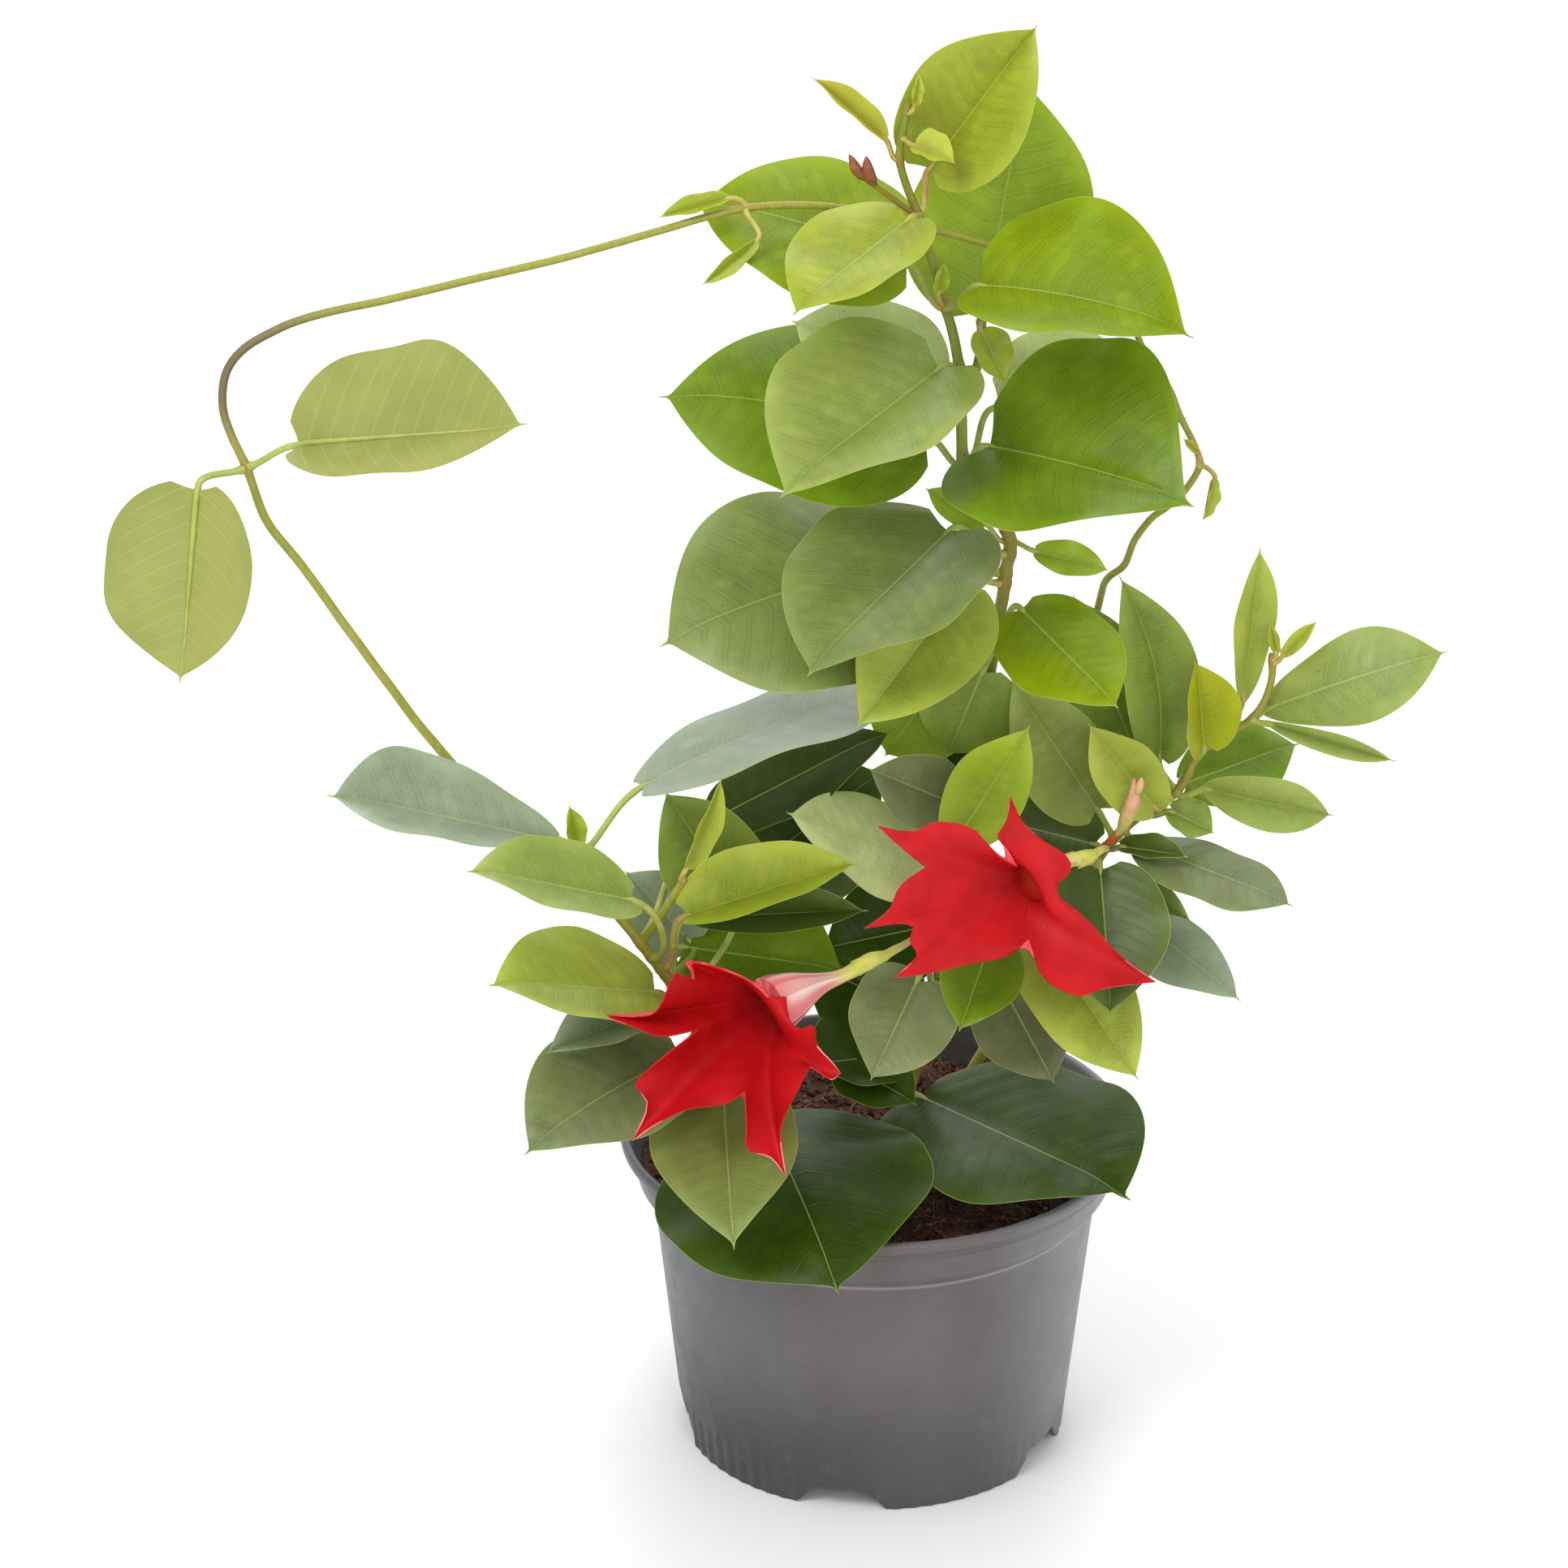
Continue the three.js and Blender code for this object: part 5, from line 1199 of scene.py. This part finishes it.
def corolla_sheet(flower):
    """Rows from the foot of the tube up to the throat and out to the edge of the lobes."""
    edge, rolls, place = lobe_edges(flower)
    axis_path = even_steps(flower["path"], TUBE_STEPS)
    tangents = tangents_of(axis_path)
    throat, axis = axis_path[-1], tangents[-1]
    shares = np.linspace(0, 1, TUBE_STEPS + 1)
    radii = np.interp(shares, np.linspace(0, 1, len(flower["radii"])), flower["radii"])
    radii = np.convolve(np.pad(radii, 2, mode="edge"), np.ones(5) / 5, mode="valid")
    level = np.array([0.0, 0.0, 1.0])
    outward = edge - throat
    turn = np.unwrap(np.arctan2(outward[:, 2] + 0.45 * outward[:, 1], outward[:, 0]))
    rows, along = [], []
    for centre, tangent, radius, share in zip(axis_path, tangents, radii, np.linspace(-1, 0, TUBE_STEPS + 1)):
        right = unit(np.cross(level, tangent))
        up = np.cross(tangent, right)
        ribs = 1 + 0.035 * np.cos(5 * turn) * smooth(share, -0.7, 0)
        ring = np.cos(turn)[:, None] * right + np.sin(turn)[:, None] * up
        rows.append(centre + radius * ribs[:, None] * ring)
        along.append(np.full(len(turn), share))
    start = rows[-1]
    spread = unit(start - throat)
    reach = np.linalg.norm(edge - start, axis=1, keepdims=True)
    first = start + axis * 5.0 + spread * np.minimum(reach * 0.14, 2)
    facing = unit(np.array([-0.25, -0.85, 0.45]))
    second = edge + (first - edge) * 0.42 + facing * np.minimum(reach * 0.16, 3.5)
    notch_dip = 1 - np.minimum(1, abs(abs(place) - 1) / 0.22)
    for t in np.linspace(0, 1, LOBE_STEPS + 1)[1:]:
        row = (1 - t) ** 3 * start + 3 * t * (1 - t) ** 2 * first + 3 * t * t * (1 - t) * second + t**3 * edge
        row = row - facing * (0.9 * notch_dip * math.sin(math.pi * min(1, t * 1.1)))[:, None]
        row = row + facing * (0.14 * np.sin(4 * math.pi * place + t * 3) * t**2)[:, None]
        for _ in range(round(70 * (1 - t) ** 0.9)):
            row = (np.roll(row, 1, axis=0) + 2 * row + np.roll(row, -1, axis=0)) / 4
        rows.append(row)
        along.append(np.full(len(turn), t))
    rows = roll_edges(np.array(rows), rolls)
    distance = np.linalg.norm(rows - rows[-1][None], axis=-1)
    marks = np.stack([np.broadcast_to(place, distance.shape), np.array(along), distance], axis=-1)
    return rows, marks


def roll_edges(rows, rolls):
    """Bends the outermost rows of a rolled lobe forward and over."""
    last = len(rows) - 1
    fold = last - ROLLED_ROWS
    facing = unit(np.array([-0.2, -0.8, 0.55]))
    direction = unit(rows[fold + 1] - rows[fold])
    for i in range(fold + 1, last + 1):
        length = np.linalg.norm(rows[i] - rows[fold], axis=1, keepdims=True)
        radius = np.maximum(rolls, 0.3)[:, None]
        angle = np.minimum(length / radius, 3.6)
        rolled = rows[fold] + direction * radius * np.sin(angle) + facing * radius * (1 - np.cos(angle))
        rows[i] = np.where(rolls[:, None] > 0.35, rolled, rows[i])
    return rows


def sheet_normals(rows):
    next_to_next = np.roll(rows, -1, axis=1) - np.roll(rows, 1, axis=1)
    return unit(np.cross(next_to_next, np.gradient(rows, axis=0)))


def make_corolla(side, flower, paints):
    """The inner and the outer face, joined at the edge of the lobes and at the foot of the tube."""
    rows, marks = corolla_sheet(flower)
    half = sheet_normals(rows) * PETAL_THICK / 2
    count = rows.shape[1]
    total = len(rows) * count
    top = total - count
    shape = Shape()
    shape.add(rows + half, grid_faces(len(rows), count, closed=True, flip=True), 0, marks)
    shape.add(rows - half, grid_faces(len(rows), count, closed=True), 1, marks)
    for j in range(count):
        k = (j + 1) % count
        shape.faces.append((top + j, top + k, total + top + k, total + top + j))
        shape.faces.append((k, j, total + j, total + k))
        # Edge faces near a lobe's tip take slot 2, the painted highlight.
        shape.slots += [2 if abs(marks[-1, j, 0]) < 0.3 else 0, 1]
    shape.build("flower_" + side, paints, "petal", ["corolla_" + side], "petal")


# Calyces: the flower's stalk, the green cup at its end and the five sepals on it.
CALYCES = {
    "right": dict(
        stalk=[(66, 4.5, 186.5), (66, -6, 190.5), (64.5, -12, 193), (62, -16.5, 193.5)],
        cup=[(62, -16.5, 193.5), (60, -19.6, 194), (57.8, -22, 194.6), (55.2, -24.6, 195.4)],
    ),
    "left": dict(
        stalk=[(19, 9.5, 160), (8, -20, 166), (4.5, -28.5, 168), (2.6, -31.3, 168)],
        cup=[(2.6, -31.3, 168), (-1, -34, 168), (-4.4, -36.6, 167.2), (-8, -39.3, 166.2)],
    ),
}
STALK_STEPS = 26
CUP_STEPS = 14
SEPALS = 5


def add_sepal(shape, centre, axis, out, length, width, flare):
    """A small pointed green scale that stands on the calyx and bends out at its tip."""
    side = np.cross(axis, out)
    rows, columns = 9, 5
    count = rows * columns
    t = np.linspace(0, 1, rows)
    outline = width * np.sqrt(np.clip(1 - t, 0, 1)) * (0.75 + 0.5 * np.sin(math.pi * np.clip(t + 0.1, 0, 1)))
    line = np.linspace(-1, 1, columns)
    middle = centre + axis * length * t[:, None] + out * (flare * t**2)[:, None]
    sheet = middle[:, None] + side * (outline[:, None] * line / 2)[..., None]
    sheet = sheet - out * (0.5 * outline[:, None] * line**2 / 2)[..., None]
    half = out * 0.16
    start = shape.count
    sheets = np.concatenate([(sheet + half).reshape(-1, 3), (sheet - half).reshape(-1, 3)])
    shape.add(sheets, grid_faces(rows, columns, flip=True), 0, np.full(sheets.shape, 1.5))
    ids = [start + k for k in border(rows, columns)]
    more = grid_faces(rows, columns, start=start + count)
    more += [(b, a, a + count, b + count) for a, b in zip(ids, ids[1:] + ids[:1])]
    shape.faces += more
    shape.slots += [0] * len(more)


def make_calyx(side, calyx, paint):
    shape = Shape()
    stalk = even_steps(calyx["stalk"], STALK_STEPS)
    t = np.linspace(0, 1, STALK_STEPS + 1)
    radii = 0.95 + 0.35 * smooth(t, 0.55, 1) + 0.3 * (1 - smooth(t, 0, 0.08))
    cup = even_steps(calyx["cup"], CUP_STEPS)
    s = np.linspace(0, 1, CUP_STEPS + 1)
    cup_radii = 1.3 + 1.05 * bell(s, 0.42, 0.36) + 0.6 * smooth(s, 0.4, 1)
    along = np.concatenate([t[:-1], 1 + s])
    marks = np.column_stack([along, 0 * along, 0 * along])
    radii = np.concatenate([radii[:-1], cup_radii])
    tube(shape, np.vstack([stalk[:-1], cup]), radii, 16, (0.2, 0, 1), 0, marks)
    axis = unit(np.array(calyx["cup"][-1]) - np.array(calyx["cup"][0]))
    centre = cup[6]
    right = unit(np.cross(axis, (0, 0, 1)))
    up = np.cross(right, axis)
    for k in range(SEPALS):
        angle = 2 * math.pi * (k + 0.3) / SEPALS
        out = math.cos(angle) * right + math.sin(angle) * up
        add_sepal(shape, centre + out * 2.1 - axis * 2.2, axis, out, 6.8, 2.3, 0.35)
    shape.build("calyx_cup_" + side, [paint], "calyx", ["calyx_" + side], "calyx")


def calyx_paint():
    """Yellow-green cup and sepals on a redder stalk."""
    paint = Paint("calyx_green")
    along, _, _ = paint.marks("calyx")
    tone = paint.step(paint.noise(240, 3), 0.35, 0.7)
    cup = paint.blend(tone, (214, 208, 104), (198, 200, 88))
    stalk = paint.blend(tone, (190, 150, 70), (190, 110, 56))
    paint.base(paint.step(along, 0.45, 0.95), stalk, cup)
    return paint.finish(0.45, 0.5, paint.noise(1300, 2), 0.00012, 0.6)


# ---- buds ----
BUD_STEPS = 44
BUD_SIDES = 20
FURLED_PETALS = 5


def add_bud(shape, path, stalk_share, thick, twist, stalk_radius=0.8):
    """A stalk and, at its end, a tight spiral of unopened petals."""
    points = even_steps(path, BUD_STEPS)
    t = np.linspace(0, 1, BUD_STEPS + 1)
    body = np.clip((t - stalk_share) / (1 - stalk_share), 0, 1)
    spindle = np.sin(math.pi * np.clip(body * 0.94 + 0.03, 0, 1)) ** 0.75 * (1 - 0.25 * body)
    swollen = np.maximum(stalk_radius * (1 - body) ** 0.5, thick * spindle)
    radii = np.where(t < stalk_share, stalk_radius, swollen)
    upright = abs(tangents_of(points)[0][2]) >= 0.8
    across, up = tube_axes(points, (1, 0.2, 0) if upright else (0.3, 0.2, 1))
    angles = around(BUD_SIDES)
    saw = ((FURLED_PETALS * angles / (2 * math.pi) + twist * body[:, None]) % 1.0) - 0.5
    ridge = 1 + 0.16 * saw * (body > 0)[:, None]
    angles = angles[None, :, None]
    round_about = np.cos(angles) * across + np.sin(angles) * up
    rings = points[:, None] + (radii[:, None] * ridge)[..., None] * round_about
    marks = np.repeat(np.column_stack([body, 0 * body, 0 * body]), BUD_SIDES, axis=0)
    shape.add(rings, tube_faces(BUD_STEPS + 1, BUD_SIDES), 0, marks)


def bud_paint(name, stalk, low, high):
    """From the low colour at the bud's foot to the high one at its tip, mottled like its stalk."""
    paint = Paint(name)
    along, _, _ = paint.marks("bud")
    tone = paint.noise(420, 3)
    body = paint.blend(paint.step(along, 0.1, 0.85), low, high)
    paint.base(paint.step(along, 0.0, 0.08), stalk, body)
    paint.coat(paint.step(tone, 0.4, 0.7, 0.0, 0.3), stalk)
    return paint.finish(0.5, 0.5, tone, 0.0002, 0.6)


def make_buds():
    brown = bud_paint("bud_brown", (146, 128, 48), (124, 72, 38), (132, 66, 44))
    faded = bud_paint("bud_faded", (188, 92, 44), (190, 188, 100), (224, 170, 140))
    shape = Shape()
    path = [(8.6, 1.4, 379), (3, -4, 385), (-1.8, -7.6, 390), (-3.4, -8.6, 393.5), (-4.2, -9, 398.5)]
    add_bud(shape, path, 0.64, 2.0, 0.8)
    add_bud(shape, [(-1.8, -7.6, 390), (-6.2, -8.4, 393.8), (-8.8, -9, 399)], 0.2, 1.7, 0.8)
    shape.build("buds_at_top", [brown], "bud", ["bud_top"], "bud")
    shape = Shape()
    path = [(66.5, 4, 187), (66.5, -2, 190), (70, -7, 197), (72, -10, 204), (73, -12, 209), (73, -14, 216)]
    add_bud(shape, path, 0.36, 2.5, 1.1, 1.0)
    add_bud(shape, [(73.2, -13, 210), (74.6, -14.4, 214), (75, -15.4, 217)], 0.1, 1.5, 0.8, 0.6)
    shape.build("faded_flower", [faded], "bud", ["bud_right"], "bud")


def make_flowers():
    petals = [petal_paint(), petal_back_paint(), rim_highlight_paint()]
    green = calyx_paint()
    for side in FLOWERS:
        make_corolla(side, FLOWERS[side], petals)
        make_calyx(side, CALYCES[side], green)
    make_buds()


# ---- assembly ----
add_camera()
add_studio()
add_floor()
make_leaves(make_leaf_paints())
make_stems()
make_pot()
make_soil()
make_flowers()
